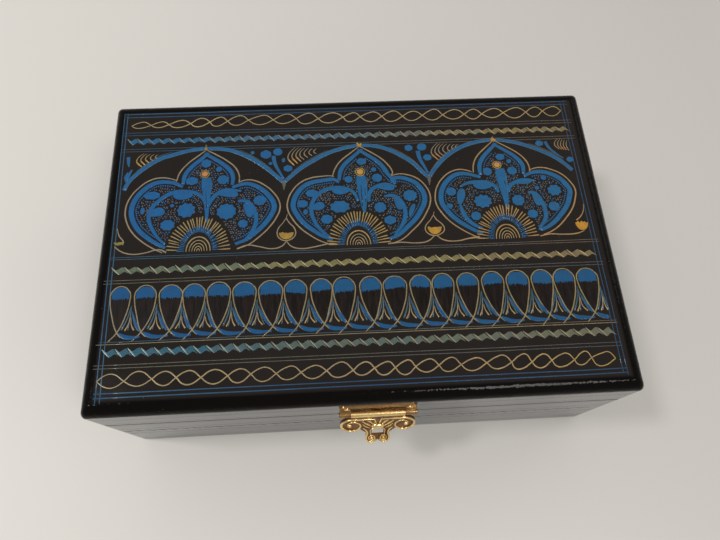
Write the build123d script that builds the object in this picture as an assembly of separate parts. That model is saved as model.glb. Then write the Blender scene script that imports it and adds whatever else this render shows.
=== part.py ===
from build123d import *
import os
from math import cos, radians, sin

# Lacquered jewellery box with a hinged lid, a velvet lining and a brass hasp latch.
# Millimetres, +Z up. The origin is the centre of the face that the box stands on.
# X runs along the front, from left to right, and Y from the front to the back.

# Case
box_width = 230.0
box_depth = 150.0
box_height = 80.0
lid_height = 25.0
seam_gap = 0.3
corner_radius = 2.2
top_edge_radius = 5.0
foot_edge_radius = 1.2
seam_edge_radius = 0.6

# Boards
wall_thickness = 7.0
lid_rail_thickness = 6.5
lid_panel_thickness = 8.0
bottom_thickness = 5.0

# Velvet-covered card linings
lining_thickness = 1.5
floor_lining_thickness = 2.0
lid_lining_thickness = 2.0
lid_lining_margin = 0.4
lining_lip = 4.0

# Nails, shared by the hinges, the latch and the catch
nail_head_radius = 1.25
nail_head_height = 0.6
nail_head_rounding = 0.35
nail_shank_radius = 0.55
nail_length = 5.0
nail_hole_clearance = 0.05

# Two butt hinges on the back
hinge_inset = 40.0
hinge_width = 24.0
hinge_leaf_height = 13.0
hinge_leaf_thickness = 1.0
hinge_leaf_corner_radius = 1.5
hinge_knuckle_radius = 1.9
hinge_pin_radius = 1.0
hinge_pin_clearance = 0.03
hinge_pin_head_radius = 1.5
hinge_pin_head_length = 0.5
hinge_barrel_standoff = 0.3
hinge_knuckle_gap = 0.2
hinge_notch_clearance = 0.15
hinge_nail_spacing = 15.0
hinge_nail_rise = 8.0

# Latch plate and hasp on the front of the lid
latch_offset = 4.5
latch_width = 32.4
latch_rise = 11.0
latch_axis_standoff = 2.2
latch_plate_thickness = 0.7
latch_plate_top_margin = 0.5
latch_plate_drop = 2.5
latch_plate_corner_radius = 2.2
latch_knuckle_radius = 1.35
latch_knuckle_gap = 0.2
latch_web_underside = 0.15
latch_pin_radius = 0.7
latch_pin_clearance = 0.03
latch_pin_head_radius = 1.1
latch_pin_head_length = 0.4
latch_nail_spacing = 26.0
latch_nail_below_panel = 1.3

hasp_barrel_length = 23.0
hasp_thickness = 0.9
hasp_start_angle = 14.0
hasp_end_angle = 38.0
hasp_spare_length = 1.2
hasp_root_out = 0.7
hasp_root_down = 0.6
hasp_wing_radius = 4.8
hasp_wing_clearance = 2.4
hasp_waist_half_width = 5.1
hasp_waist_below_slot_top = 2.2
hasp_lobe_radius = 2.7
hasp_lobe_spacing = 5.2
hasp_lobe_below_slot = 1.3
hasp_slot_side_clearance = 0.6
hasp_slot_top_clearance = 1.4
hasp_slot_bottom_clearance = 0.5

# Catch on the front of the base: a plate with a turned-up tongue
catch_width = 16.0
catch_height = 11.0
catch_seam_clearance = 0.4
catch_plate_thickness = 0.7
catch_corner_radius = 2.5
catch_tongue_width = 4.0
catch_tongue_thickness = 1.2
catch_tongue_below_rim = 1.9
catch_tongue_tip_gap = 0.4
catch_lip_height = 0.8
catch_lip_thickness = 0.9
catch_nail_spacing = 10.0
catch_nail_drop = 8.0

# Values worked out from the ones above
half_width = box_width / 2
half_depth = box_depth / 2
seam_height = box_height - lid_height
rim_height = seam_height - seam_gap
lid_ceiling = box_height - lid_panel_thickness
lining_top = rim_height + lining_lip
hinge_spacing = box_width - 2 * hinge_inset
hinge_axis_y = half_depth + hinge_barrel_standoff + hinge_knuckle_radius
hinge_axis_z = seam_height - seam_gap / 2
latch_axis_y = -half_depth - latch_axis_standoff
latch_axis_height = seam_height + latch_rise
latch_plate_top = box_height - top_edge_radius - latch_plate_top_margin
catch_tongue_top = rim_height - catch_tongue_below_rim
catch_tongue_underside = catch_tongue_top - catch_tongue_thickness
catch_lip_top = catch_tongue_top + catch_lip_height
hasp_wing_drop = hasp_wing_clearance + hasp_wing_radius
hasp_slot_top_drop = latch_axis_height - catch_lip_top - hasp_slot_top_clearance
hasp_slot_bottom_drop = latch_axis_height - catch_tongue_underside + hasp_slot_bottom_clearance
hasp_waist_drop = hasp_slot_top_drop + hasp_waist_below_slot_top
hasp_lobe_drop = hasp_slot_bottom_drop + hasp_lobe_below_slot
hasp_mean_angle = radians((hasp_start_angle + hasp_end_angle) / 2)
hasp_sheet_drop = hasp_lobe_drop + hasp_lobe_radius - hasp_root_down
hasp_curve_length = hasp_sheet_drop / cos(hasp_mean_angle) + hasp_spare_length
hasp_segment_count = 12


def block(x_low, x_high, y_low, y_high, z_low, z_high):
    """A box between two corners."""
    middle = Pos((x_low + x_high) / 2, (y_low + y_high) / 2, (z_low + z_high) / 2)
    return middle * Box(x_high - x_low, y_high - y_low, z_high - z_low)


def rod_along_x(radius, x_low, x_high, y, z):
    """A cylinder along X, such as a knuckle, a pin or the hole for one."""
    return Pos((x_low + x_high) / 2, y, z) * Rot(Y=90) * Cylinder(radius, x_high - x_low)


def rod_along_y(radius, y_low, y_high, x, z):
    """A cylinder along Y, such as the hole for a nail."""
    return Pos(x, (y_low + y_high) / 2, z) * Rot(X=90) * Cylinder(radius, y_high - y_low)


# Case: boards cut to one rounded outline, so that the outside runs on from board to board

def rounded_case(z_low, z_high, low_radius, high_radius):
    """The outline that the boards of the lid or of the base are cut to."""
    case = block(-half_width, half_width, -half_depth, half_depth, z_low, z_high)
    case = fillet(case.edges().filter_by(Axis.Z), corner_radius)
    case = fillet(case.faces().sort_by(Axis.Z)[-1].edges(), high_radius)
    return fillet(case.faces().sort_by(Axis.Z)[0].edges(), low_radius)


def base_case():
    return rounded_case(0, rim_height, foot_edge_radius, seam_edge_radius)


def lid_case():
    return rounded_case(seam_height, box_height, seam_edge_radius, top_edge_radius)


def long_board(side, thickness, z_low, z_high):
    """A board along the front (side -1) or the back (side 1), as wide as the box."""
    inner, outer = side * (half_depth - thickness), side * half_depth
    return block(-half_width, half_width, min(inner, outer), max(inner, outer), z_low, z_high)


def short_board(side, thickness, z_low, z_high):
    """A board at the left (side -1) or the right (side 1), between the long boards."""
    inner, outer = side * (half_width - thickness), side * half_width
    reach = half_depth - thickness
    return block(min(inner, outer), max(inner, outer), -reach, reach, z_low, z_high)


def base_front_wall():
    board = long_board(-1, wall_thickness, 0, rim_height) & base_case()
    return board - nail_holes(catch_nail_places(), -1)


def base_back_wall():
    board = long_board(1, wall_thickness, 0, rim_height) & base_case()
    return board - nail_holes(hinge_nail_places(-1), 1)


def base_side_wall(side):
    return short_board(side, wall_thickness, 0, rim_height) & base_case()


def base_bottom():
    """The bottom board lies between the walls, level with their feet."""
    reach_x, reach_y = half_width - wall_thickness, half_depth - wall_thickness
    return block(-reach_x, reach_x, -reach_y, reach_y, 0, bottom_thickness)


def lid_panel():
    panel = block(-half_width, half_width, -half_depth, half_depth, lid_ceiling, box_height)
    return panel & lid_case()


def lid_front_rail():
    rail = long_board(-1, lid_rail_thickness, seam_height, lid_ceiling) & lid_case()
    return rail - nail_holes(latch_nail_places(), -1)


def lid_back_rail():
    rail = long_board(1, lid_rail_thickness, seam_height, lid_ceiling) & lid_case()
    return rail - nail_holes(hinge_nail_places(1), 1)


def lid_side_rail(side):
    return short_board(side, lid_rail_thickness, seam_height, lid_ceiling) & lid_case()


# Linings: cards covered in velvet, that stand above the rim and guide the lid

def long_lining(side):
    """The lining on the front or back wall, as wide as the inside."""
    outer = side * (half_depth - wall_thickness)
    inner = outer - side * lining_thickness
    reach = half_width - wall_thickness
    y_low, y_high = min(inner, outer), max(inner, outer)
    return block(-reach, reach, y_low, y_high, bottom_thickness, lining_top)


def short_lining(side):
    """The lining on a side wall, between the two long linings."""
    outer = side * (half_width - wall_thickness)
    inner = outer - side * lining_thickness
    reach = half_depth - wall_thickness - lining_thickness
    x_low, x_high = min(inner, outer), max(inner, outer)
    return block(x_low, x_high, -reach, reach, bottom_thickness, lining_top)


def floor_lining():
    reach_x = half_width - wall_thickness - lining_thickness
    reach_y = half_depth - wall_thickness - lining_thickness
    top = bottom_thickness + floor_lining_thickness
    return block(-reach_x, reach_x, -reach_y, reach_y, bottom_thickness, top)


def lid_lining():
    reach_x = half_width - lid_rail_thickness - lid_lining_margin
    reach_y = half_depth - lid_rail_thickness - lid_lining_margin
    return block(-reach_x, reach_x, -reach_y, reach_y, lid_ceiling - lid_lining_thickness, lid_ceiling)


# Nails

def nails(places, side, plate_thickness):
    """Nails through a plate on the front (side -1) or the back (side 1), one at each (x, z)."""
    head = Pos(0, 0, nail_head_height / 2) * Cylinder(nail_head_radius, nail_head_height)
    head = fillet(head.edges().sort_by(Axis.Z)[-1], nail_head_rounding)
    nail = head + Pos(0, 0, -nail_length / 2) * Cylinder(nail_shank_radius, nail_length)
    seat = side * (half_depth + plate_thickness)
    return [Pos(x, seat, z) * Rot(X=-90 * side) * nail for x, z in places]


def nail_holes(places, side, clearance=0.0):
    """Holes for nails, from outside the plate to the nail's end in the board."""
    outer, inner = side * (half_depth + nail_length), side * (half_depth - nail_length)
    radius = nail_shank_radius + clearance
    return [rod_along_y(radius, min(inner, outer), max(inner, outer), x, z) for x, z in places]


# Hinges

def hinge_nail_places(side):
    """Nail places on the lid leaves (side 1) or the base leaves (side -1)."""
    z = hinge_axis_z + side * hinge_nail_rise
    centres = (-hinge_spacing / 2, hinge_spacing / 2)
    return [(centre + end * hinge_nail_spacing / 2, z) for centre in centres for end in (-1, 1)]


def hinge_knuckle_spans(side, centre):
    """The lid leaf has the middle third of the barrel, the base leaf the two outer thirds."""
    low, third = centre - hinge_width / 2, hinge_width / 3
    half_gap = hinge_knuckle_gap / 2
    if side > 0:
        return [(low + third + half_gap, low + 2 * third - half_gap)]
    high = low + hinge_width
    return [(low, low + third - half_gap), (high - third + half_gap, high)]


def hinge_leaf(side, centre):
    """A leaf on the outside of the back, with its share of the barrel."""
    low, high = centre - hinge_width / 2, centre + hinge_width / 2
    tip = hinge_axis_z + side * hinge_leaf_height
    y_low, y_high = half_depth, half_depth + hinge_leaf_thickness
    leaf = block(low, high, y_low, y_high, min(hinge_axis_z, tip), max(hinge_axis_z, tip))
    tip_edges = leaf.edges().filter_by(Axis.Y).sort_by(Axis.Z)
    leaf = fillet(tip_edges[-2:] if side > 0 else tip_edges[:2], hinge_leaf_corner_radius)
    notch = hinge_knuckle_radius + hinge_notch_clearance
    for start, end in hinge_knuckle_spans(-side, centre):
        start, end = start - hinge_knuckle_gap, end + hinge_knuckle_gap
        leaf -= block(start, end, y_low - 1, y_high + 1, hinge_axis_z - notch, hinge_axis_z + notch)
    for start, end in hinge_knuckle_spans(side, centre):
        leaf += rod_along_x(hinge_knuckle_radius, start, end, hinge_axis_y, hinge_axis_z)
    bore = hinge_pin_radius + hinge_pin_clearance
    leaf -= rod_along_x(bore, low - 1, high + 1, hinge_axis_y, hinge_axis_z)
    return leaf - nail_holes(hinge_nail_places(side), 1, nail_hole_clearance)


def hinge_pin(centre):
    low, high = centre - hinge_width / 2, centre + hinge_width / 2
    pin = rod_along_x(hinge_pin_radius, low, high, hinge_axis_y, hinge_axis_z)
    for start in (low - hinge_pin_head_length, high):
        end = start + hinge_pin_head_length
        pin += rod_along_x(hinge_pin_head_radius, start, end, hinge_axis_y, hinge_axis_z)
    return pin


# Latch

def latch_nail_places():
    z = lid_ceiling - latch_nail_below_panel
    return [(latch_offset + end * latch_nail_spacing / 2, z) for end in (-1, 1)]


def latch_plate():
    """The plate on the lid, with a short knuckle at each end for the hasp's pin."""
    low, high = latch_offset - latch_width / 2, latch_offset + latch_width / 2
    face = -half_depth - latch_plate_thickness
    underside = latch_axis_height - latch_plate_drop
    plate = block(low, high, face, -half_depth, underside, latch_plate_top)
    plate = fillet(plate.edges().filter_by(Axis.Y), latch_plate_corner_radius)
    knuckle_reach = (hasp_barrel_length + latch_knuckle_gap) / 2
    web_top = latch_axis_height + latch_knuckle_radius
    web_low = latch_axis_height + latch_web_underside
    for start, end in ((low, latch_offset - knuckle_reach), (latch_offset + knuckle_reach, high)):
        plate += rod_along_x(latch_knuckle_radius, start, end, latch_axis_y, latch_axis_height)
        plate += block(start, end, latch_axis_y, face, web_low, web_top)
    bore = latch_pin_radius + latch_pin_clearance
    plate -= rod_along_x(bore, low - 1, high + 1, latch_axis_y, latch_axis_height)
    return plate - nail_holes(latch_nail_places(), -1, nail_hole_clearance)


def latch_pin():
    low, high = latch_offset - latch_width / 2, latch_offset + latch_width / 2
    pin = rod_along_x(latch_pin_radius, low, high, latch_axis_y, latch_axis_height)
    for start in (low - latch_pin_head_length, high):
        end = start + latch_pin_head_length
        pin += rod_along_x(latch_pin_head_radius, start, end, latch_axis_y, latch_axis_height)
    return pin


def hasp_curve(offset):
    """Points (y, z) down the hasp, which leans out more and more, offset from its mid line."""
    step = hasp_curve_length / hasp_segment_count
    turn = (hasp_end_angle - hasp_start_angle) / hasp_segment_count
    y = latch_axis_y - hasp_root_out
    z = latch_axis_height - hasp_root_down
    points = []
    for index in range(hasp_segment_count + 1):
        lean = radians(hasp_start_angle + turn * index)
        points.append((y - offset * cos(lean), z + offset * sin(lean)))
        middle = radians(hasp_start_angle + turn * (index + 0.5))
        y -= step * sin(middle)
        z -= step * cos(middle)
    return points


def hasp_inner_y(z):
    """Where the hasp's inner side stands at a height."""
    points = hasp_curve(-hasp_thickness / 2)
    for (y_above, z_above), (y_below, z_below) in zip(points, points[1:]):
        if z_below <= z <= z_above:
            return y_above + (y_below - y_above) * (z_above - z) / (z_above - z_below)
    return points[-1][0]


def hasp_sheet():
    """A curved sheet as wide as the latch, from which the hasp is cut."""
    outer = hasp_curve(hasp_thickness / 2)
    inner = hasp_curve(-hasp_thickness / 2)
    outline = Spline(outer) + Line(outer[-1], inner[-1]) + Spline(inner[::-1])
    outline += Line(inner[0], outer[0])
    section = Plane.YZ * make_face(outline)
    low = latch_offset - latch_width / 2
    return Pos(low, 0, 0) * extrude(section, latch_width, dir=(1, 0, 0))


def hasp_front_outline():
    """The hasp seen from the front, drawn about the latch's axis: wings, waist and two lobes."""
    shoulder = hasp_barrel_length / 2
    outline = Pos(0, -hasp_wing_drop / 2) * Rectangle(2 * shoulder, hasp_wing_drop)
    wing_x = latch_width / 2 - hasp_wing_radius
    taper = [
        (-shoulder, -hasp_wing_drop), (-hasp_waist_half_width, -hasp_waist_drop),
        (-hasp_waist_half_width, -hasp_lobe_drop), (hasp_waist_half_width, -hasp_lobe_drop),
        (hasp_waist_half_width, -hasp_waist_drop), (shoulder, -hasp_wing_drop),
    ]
    outline += make_face(Polyline(*taper, close=True))
    for side in (-1, 1):
        outline += Pos(side * wing_x, -hasp_wing_drop) * Circle(hasp_wing_radius)
        outline += Pos(side * hasp_lobe_spacing / 2, -hasp_lobe_drop) * Circle(hasp_lobe_radius)
    slot_width = catch_tongue_width + 2 * hasp_slot_side_clearance
    slot_height = hasp_slot_bottom_drop - hasp_slot_top_drop
    slot_middle = -(hasp_slot_top_drop + hasp_slot_bottom_drop) / 2
    return outline - Pos(0, slot_middle) * Rectangle(slot_width, slot_height)


def hasp():
    """The hasp: a barrel on the pin and a curved, cut-out sheet that hangs from it."""
    front = Plane(origin=(latch_offset, -half_depth, latch_axis_height), x_dir=(1, 0, 0), z_dir=(0, -1, 0))
    reach = latch_axis_standoff + hasp_curve_length
    sheet = hasp_sheet() & extrude(front * hasp_front_outline(), reach)
    low, high = latch_offset - hasp_barrel_length / 2, latch_offset + hasp_barrel_length / 2
    sheet += rod_along_x(latch_knuckle_radius, low, high, latch_axis_y, latch_axis_height)
    bore = latch_pin_radius + latch_pin_clearance
    return sheet - rod_along_x(bore, low - 1, high + 1, latch_axis_y, latch_axis_height)


# Catch

def catch_nail_places():
    z = rim_height - catch_seam_clearance - catch_nail_drop
    return [(latch_offset + end * catch_nail_spacing / 2, z) for end in (-1, 1)]


def catch_plate():
    """The plate on the base, with a tongue that goes through the hasp's slot."""
    top = rim_height - catch_seam_clearance
    low, high = latch_offset - catch_width / 2, latch_offset + catch_width / 2
    face = -half_depth - catch_plate_thickness
    plate = block(low, high, face, -half_depth, top - catch_height, top)
    plate = fillet(plate.edges().filter_by(Axis.Y).sort_by(Axis.Z)[:2], catch_corner_radius)
    left = latch_offset - catch_tongue_width / 2
    right = latch_offset + catch_tongue_width / 2
    tip = hasp_inner_y(catch_lip_top) + catch_tongue_tip_gap
    plate += block(left, right, tip, face, catch_tongue_underside, catch_tongue_top)
    plate += block(left, right, tip, tip + catch_lip_thickness, catch_tongue_top, catch_lip_top)
    return plate - nail_holes(catch_nail_places(), -1, nail_hole_clearance)


def box_parts():
    """Every sub-part by its name."""
    parts = {
        "base_front_wall": base_front_wall(),
        "base_back_wall": base_back_wall(),
        "base_bottom": base_bottom(),
        "base_floor_lining": floor_lining(),
        "base_front_lining": long_lining(-1),
        "base_back_lining": long_lining(1),
        "lid_panel": lid_panel(),
        "lid_front_rail": lid_front_rail(),
        "lid_back_rail": lid_back_rail(),
        "lid_lining": lid_lining(),
        "lid_hinge_nails": nails(hinge_nail_places(1), 1, hinge_leaf_thickness),
        "base_hinge_nails": nails(hinge_nail_places(-1), 1, hinge_leaf_thickness),
        "latch_plate": latch_plate(),
        "latch_plate_nails": nails(latch_nail_places(), -1, latch_plate_thickness),
        "latch_pin": latch_pin(),
        "hasp": hasp(),
        "catch_plate": catch_plate(),
        "catch_plate_nails": nails(catch_nail_places(), -1, catch_plate_thickness),
    }
    for name, side in (("left", -1), ("right", 1)):
        centre = side * hinge_spacing / 2
        parts[f"base_{name}_wall"] = base_side_wall(side)
        parts[f"base_{name}_lining"] = short_lining(side)
        parts[f"lid_{name}_rail"] = lid_side_rail(side)
        parts[f"{name}_hinge_lid_leaf"] = hinge_leaf(1, centre)
        parts[f"{name}_hinge_base_leaf"] = hinge_leaf(-1, centre)
        parts[f"{name}_hinge_pin"] = hinge_pin(centre)
    return parts


os.makedirs("parts", exist_ok=True)
for part_name, shape in box_parts().items():
    solids = shape if isinstance(shape, list) else [shape]
    compound = Compound(children=[solid for item in solids for solid in item.solids()])
    export_step(compound if len(compound.solids()) > 1 else compound.solids()[0], f"parts/{part_name}.step")
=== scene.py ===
# %% [markdown]
# # A lacquered papier mache jewellery box
# The box is a shell of pressed paper board under many thin coats of coloured
# lacquer. The maker lays black over blue, gold and red, and then scratches the
# pattern through the black with a stylus while the coats are young. A brass
# latch closes it and velvet lines it. The solids of the box already exist, so
# this lesson loads them first, gives each one its finish, and then adds what
# the solids leave out: the drawn ornament, the chased relief on the latch, and
# the soft lining.

# %% Load the box
import math
import random

import bpy
from mathutils import Matrix, Vector


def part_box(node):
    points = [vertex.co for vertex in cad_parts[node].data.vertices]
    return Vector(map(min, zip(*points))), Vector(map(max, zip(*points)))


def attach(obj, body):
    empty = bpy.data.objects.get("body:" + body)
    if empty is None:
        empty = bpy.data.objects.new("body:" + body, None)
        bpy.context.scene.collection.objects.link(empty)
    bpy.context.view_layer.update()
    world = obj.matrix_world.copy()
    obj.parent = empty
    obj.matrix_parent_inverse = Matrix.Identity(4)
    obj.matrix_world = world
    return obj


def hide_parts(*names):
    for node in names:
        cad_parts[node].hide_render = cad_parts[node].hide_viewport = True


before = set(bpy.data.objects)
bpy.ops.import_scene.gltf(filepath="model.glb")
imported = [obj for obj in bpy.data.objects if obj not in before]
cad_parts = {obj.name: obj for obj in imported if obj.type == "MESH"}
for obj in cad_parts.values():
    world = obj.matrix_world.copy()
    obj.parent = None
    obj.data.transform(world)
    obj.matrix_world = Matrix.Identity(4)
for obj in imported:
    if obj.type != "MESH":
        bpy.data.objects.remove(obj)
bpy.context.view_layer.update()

MM = 0.001
print("solids:", sorted(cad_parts))

# %% [markdown]
# ## A few habits of the bench
# An operator acts on whatever is selected, so every step first picks exactly
# what it works on. A finished piece keeps its place in its mesh and its object
# at the origin, so that a pattern laid on object coordinates stays put.

# %% Picking, settling, welding and joining
WELD_GAP = 0.001 * MM


def pick(*things):
    """Selects only these objects and makes the first one active."""
    bpy.ops.object.select_all(action="DESELECT")
    for thing in things:
        thing.select_set(True)
    if things:
        bpy.context.view_layer.objects.active = things[0]


def choose(piece, kind, wanted):
    """Leaves a piece in edit mode with only the wanted faces or edges selected."""
    pick(piece)
    bpy.ops.object.mode_set(mode="EDIT")
    bpy.ops.mesh.select_mode(type=kind)
    bpy.ops.mesh.select_all(action="DESELECT")
    bpy.ops.object.mode_set(mode="OBJECT")
    for part in piece.data.polygons if kind == "FACE" else piece.data.edges:
        part.select = wanted(part)
    bpy.ops.object.mode_set(mode="EDIT")


def settle(piece):
    """Moves a piece's place, turn and size into its mesh."""
    pick(piece)
    bpy.ops.object.transform_apply(location=True, rotation=True, scale=True)


def weld(piece):
    """Merges doubled points and turns every face outwards."""
    pick(piece)
    bpy.ops.object.mode_set(mode="EDIT")
    bpy.ops.mesh.select_all(action="SELECT")
    bpy.ops.mesh.remove_doubles(threshold=WELD_GAP)
    bpy.ops.mesh.normals_make_consistent(inside=False)
    bpy.ops.object.mode_set(mode="OBJECT")


def smooth(piece, sharpest):
    """Shades a piece smooth, apart from edges sharper than this angle in degrees."""
    pick(piece)
    bpy.ops.object.shade_smooth_by_angle(angle=math.radians(sharpest))


def join(name, pieces):
    """Makes one object of several."""
    pick(*pieces)
    if len(pieces) > 1:
        bpy.ops.object.join()
    whole = bpy.context.object
    whole.name = whole.data.name = name
    return whole


# %% [markdown]
# ## Effects that several finishes share
# Hand work is never even. Ink is thin in places, lacquer carries smears of
# handling, and brass dulls in its hollows. Each of these is one node group with
# named inputs and outputs, so every finish can use it with its own values.
# Everything reads object coordinates, which stay with the piece when it moves.

# %% A small kit for building node trees
def plug(tree, socket, value):
    """Feeds a socket from another node's output, or with a plain value."""
    if isinstance(value, bpy.types.NodeSocket):
        tree.links.new(value, socket)
    else:
        socket.default_value = value


def feed(tree, made, **values):
    """Feeds a node's inputs by name, with underscores for spaces."""
    for key, value in values.items():
        plug(tree, made.inputs[key.replace("_", " ")], value)
    return made


def node(tree, kind, into=None, **settings):
    """Adds a node, sets its properties and feeds its inputs by name or number."""
    made = tree.nodes.new(kind)
    for key, value in settings.items():
        setattr(made, key, value)
    for key, value in (into or {}).items():
        plug(tree, made.inputs[key], value)
    return made


def new_group(name, ins, outs):
    """An empty node group with its sockets; gives back tree, inputs, outputs."""
    tree = bpy.data.node_groups.new(name, "ShaderNodeTree")
    for label, value in ins:
        kind = "Color" if isinstance(value, tuple) else "Float"
        tree.interface.new_socket(
            name=label, in_out="INPUT", socket_type="NodeSocket" + kind).default_value = value
    for label in outs:
        kind = "Color" if label == "Color" else "Float"
        tree.interface.new_socket(name=label, in_out="OUTPUT", socket_type="NodeSocket" + kind)
    return tree, tree.nodes.new("NodeGroupInput").outputs, tree.nodes.new("NodeGroupOutput")


def place(tree):
    """The object coordinates."""
    return node(tree, "ShaderNodeTexCoord").outputs["Object"]


def axes(tree):
    """The object coordinates, one by one."""
    return node(tree, "ShaderNodeSeparateXYZ", {"Vector": place(tree)}).outputs


def noise(tree, scale, detail, rough=0.55, stretch=None):
    """A noise pattern on object coordinates, in waves per metre."""
    where = place(tree)
    if stretch:
        where = node(tree, "ShaderNodeMapping", {"Vector": where, "Scale": stretch}).outputs[0]
    return node(tree, "ShaderNodeTexNoise", {
        "Vector": where, "Scale": scale, "Detail": detail, "Roughness": rough}).outputs["Fac"]


def span(tree, value, low, high, to_low=0.0, to_high=1.0):
    """Maps low..high to another range and clamps it."""
    return node(tree, "ShaderNodeMapRange", {
        "Value": value, "From Min": low, "From Max": high,
        "To Min": to_low, "To Max": to_high}).outputs[0]


def blend(tree, factor, first, second):
    """Mixes two colours."""
    mixer = node(tree, "ShaderNodeMix", {0: factor}, data_type="RGBA")
    plug(tree, mixer.inputs[6], first)
    plug(tree, mixer.inputs[7], second)
    return mixer.outputs[2]


def maths(tree, operation, *values):
    """One sum on numbers."""
    return node(tree, "ShaderNodeMath", dict(enumerate(values)), operation=operation).outputs[0]


def bump(tree, shader, height, strength, distance):
    """Feeds a height to the shader's normal."""
    made = node(tree, "ShaderNodeBump", {
        "Height": height, "Strength": strength, "Distance": distance})
    plug(tree, shader.inputs["Normal"], made.outputs["Normal"])


BLACK = (0, 0, 0, 1)

# %% [markdown]
# **Drift.** The maker lays the under-coats in soft clouds, so that one scratched
# line comes out blue at the left, beige in the middle and yellow at the right.
# The group fades three colours along the width of the box.

# %% Group: colours that drift along the box
DRIFT_REACH = 0.11   # the colours stop changing this far from the middle
tree, given, out = new_group(
    "colour_drift", [("Left", BLACK), ("Middle", BLACK), ("Right", BLACK), ("Cloudiness", 0.3)],
    ["Color"])
cloud = maths(tree, "MULTIPLY", maths(tree, "SUBTRACT", noise(tree, 45.0, 3.0), 0.5),
              given["Cloudiness"])
along = maths(tree, "ADD", span(tree, axes(tree)["X"], -DRIFT_REACH, DRIFT_REACH), cloud)
half = blend(tree, span(tree, along, 0.1, 0.5), given["Left"], given["Middle"])
feed(tree, out, Color=blend(tree, span(tree, along, 0.5, 0.95), half, given["Right"]))

# %% [markdown]
# **Scratch.** A stylus bites unevenly. Where it runs light, some black stays in
# the line, and the floor of the line is streaky. The group puts out the broken
# colour, and a height for a little bump.

# %% Group: lacquer scratched by hand
tree, given, out = new_group(
    "hand_scratched",
    [("Color", BLACK), ("Left Behind", (0.01, 0.009, 0.01, 1)), ("Skips", 0.3),
     ("Streaks", 0.25), ("Grain", 1800.0)], ["Color", "Height"])
fine = noise(tree, given["Grain"], 3.0, 0.5)
skips = maths(tree, "MULTIPLY", span(tree, fine, 0.5, 0.72), given["Skips"])
streak = maths(tree, "MULTIPLY", span(tree, noise(tree, 300.0, 4.0, 0.6), 0.35, 0.7),
               given["Streaks"])
darker = blend(tree, streak, given["Color"], (0.02, 0.03, 0.05, 1))
feed(tree, out, Color=blend(tree, skips, darker, given["Left Behind"]), Height=fine)

# %% [markdown]
# **Handling.** Gloss shows every touch. The group gives a roughness that is low
# where the lacquer is clean and higher in smears, a sparse dust, and the slow
# ripple of a brushed coat as a height.

# %% Group: handled gloss
tree, given, out = new_group(
    "handled_gloss", [("Clean", 0.08), ("Smeared", 0.25), ("Dust", 0.3)],
    ["Roughness", "Dust", "Ripple"])
smear = span(tree, noise(tree, 22.0, 5.0, 0.6, (1.0, 2.4, 1.0)), 0.45, 0.75)
rough = node(tree, "ShaderNodeMix", {0: smear, 2: given["Clean"], 3: given["Smeared"]}).outputs[0]
specks = node(tree, "ShaderNodeTexVoronoi", {"Vector": place(tree), "Scale": 420.0})
speck = span(tree, specks.outputs["Distance"], 0.05, 0.09, 1.0, 0.0)
rare = span(tree, noise(tree, 150.0, 2.0), 0.56, 0.66)
dust = maths(tree, "MULTIPLY", maths(tree, "MULTIPLY", speck, rare), given["Dust"])
ripple = maths(tree, "ADD", noise(tree, 60.0, 2.0, 0.4),
               maths(tree, "MULTIPLY", noise(tree, 700.0, 2.0, 0.5), 0.12))
feed(tree, out, Roughness=rough, Dust=dust, Ripple=ripple)

# %% [markdown]
# **Rubbed edges.** The corners of the seam and the foot lose their lacquer
# first. The group measures how near a point is to the seam or the foot of the
# case, and breaks that band up with noise.

# %% Group: rubbed edges of the case
tree, given, out = new_group(
    "rubbed_edges", [("Seam Height", 0.055), ("Reach", 0.0012), ("Amount", 0.5)], ["Mask"])
height = axes(tree)["Z"]
to_seam = maths(tree, "ABSOLUTE", maths(tree, "SUBTRACT", height, given["Seam Height"]))
to_foot = maths(tree, "ABSOLUTE", height)
near = maths(tree, "DIVIDE", maths(tree, "MINIMUM", to_seam, to_foot), given["Reach"])
worn = maths(tree, "SUBTRACT", noise(tree, 380.0, 5.0, 0.7), maths(tree, "MULTIPLY", near, 0.22))
feed(tree, out, Mask=maths(tree, "MULTIPLY", span(tree, worn, 0.46, 0.54), given["Amount"]))

# %% [markdown]
# **Tarnish.** Polished brass keeps its shine on the crowns and browns in the
# hollows. The group mixes a bright and a dull colour by noise and gives the
# roughness that goes with them.

# %% Group: brass between polish and tarnish
tree, given, out = new_group(
    "tarnish",
    [("Polished", (0.9, 0.6, 0.25, 1)), ("Dull", (0.4, 0.22, 0.07, 1)), ("Spread", 0.4),
     ("Grain", 500.0)], ["Color", "Roughness", "Height"])
grain = noise(tree, given["Grain"], 4.0, 0.5)
dull = maths(tree, "MULTIPLY", span(tree, noise(tree, 160.0, 5.0, 0.65), 0.42, 0.68),
             given["Spread"])
rough = maths(tree, "ADD", span(tree, dull, 0.0, 1.0, 0.14, 0.42),
              maths(tree, "MULTIPLY", grain, 0.08))
feed(tree, out, Color=blend(tree, dull, given["Polished"], given["Dull"]), Roughness=rough,
     Height=grain)
print("shared effects:", [group.name for group in bpy.data.node_groups])

# %% [markdown]
# ## The finishes
# A finish is one Principled shader. What is the same all over the surface is
# set on the shader itself, and only what changes is fed by nodes.

# %% Making a finish
FINISHES = {}


def new_finish(name, **sockets):
    """A material, kept under its name; gives back its tree and its shader."""
    finish = FINISHES[name] = bpy.data.materials.new(name)
    finish.use_nodes = True
    shader = finish.node_tree.nodes["Principled BSDF"]
    feed(finish.node_tree, shader, **sockets)
    return finish.node_tree, shader


def grouped(tree, name, **values):
    """Places a shared effect in a finish, with its own values."""
    made = node(tree, "ShaderNodeGroup", node_tree=bpy.data.node_groups[name])
    return feed(tree, made, **values).outputs


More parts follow.
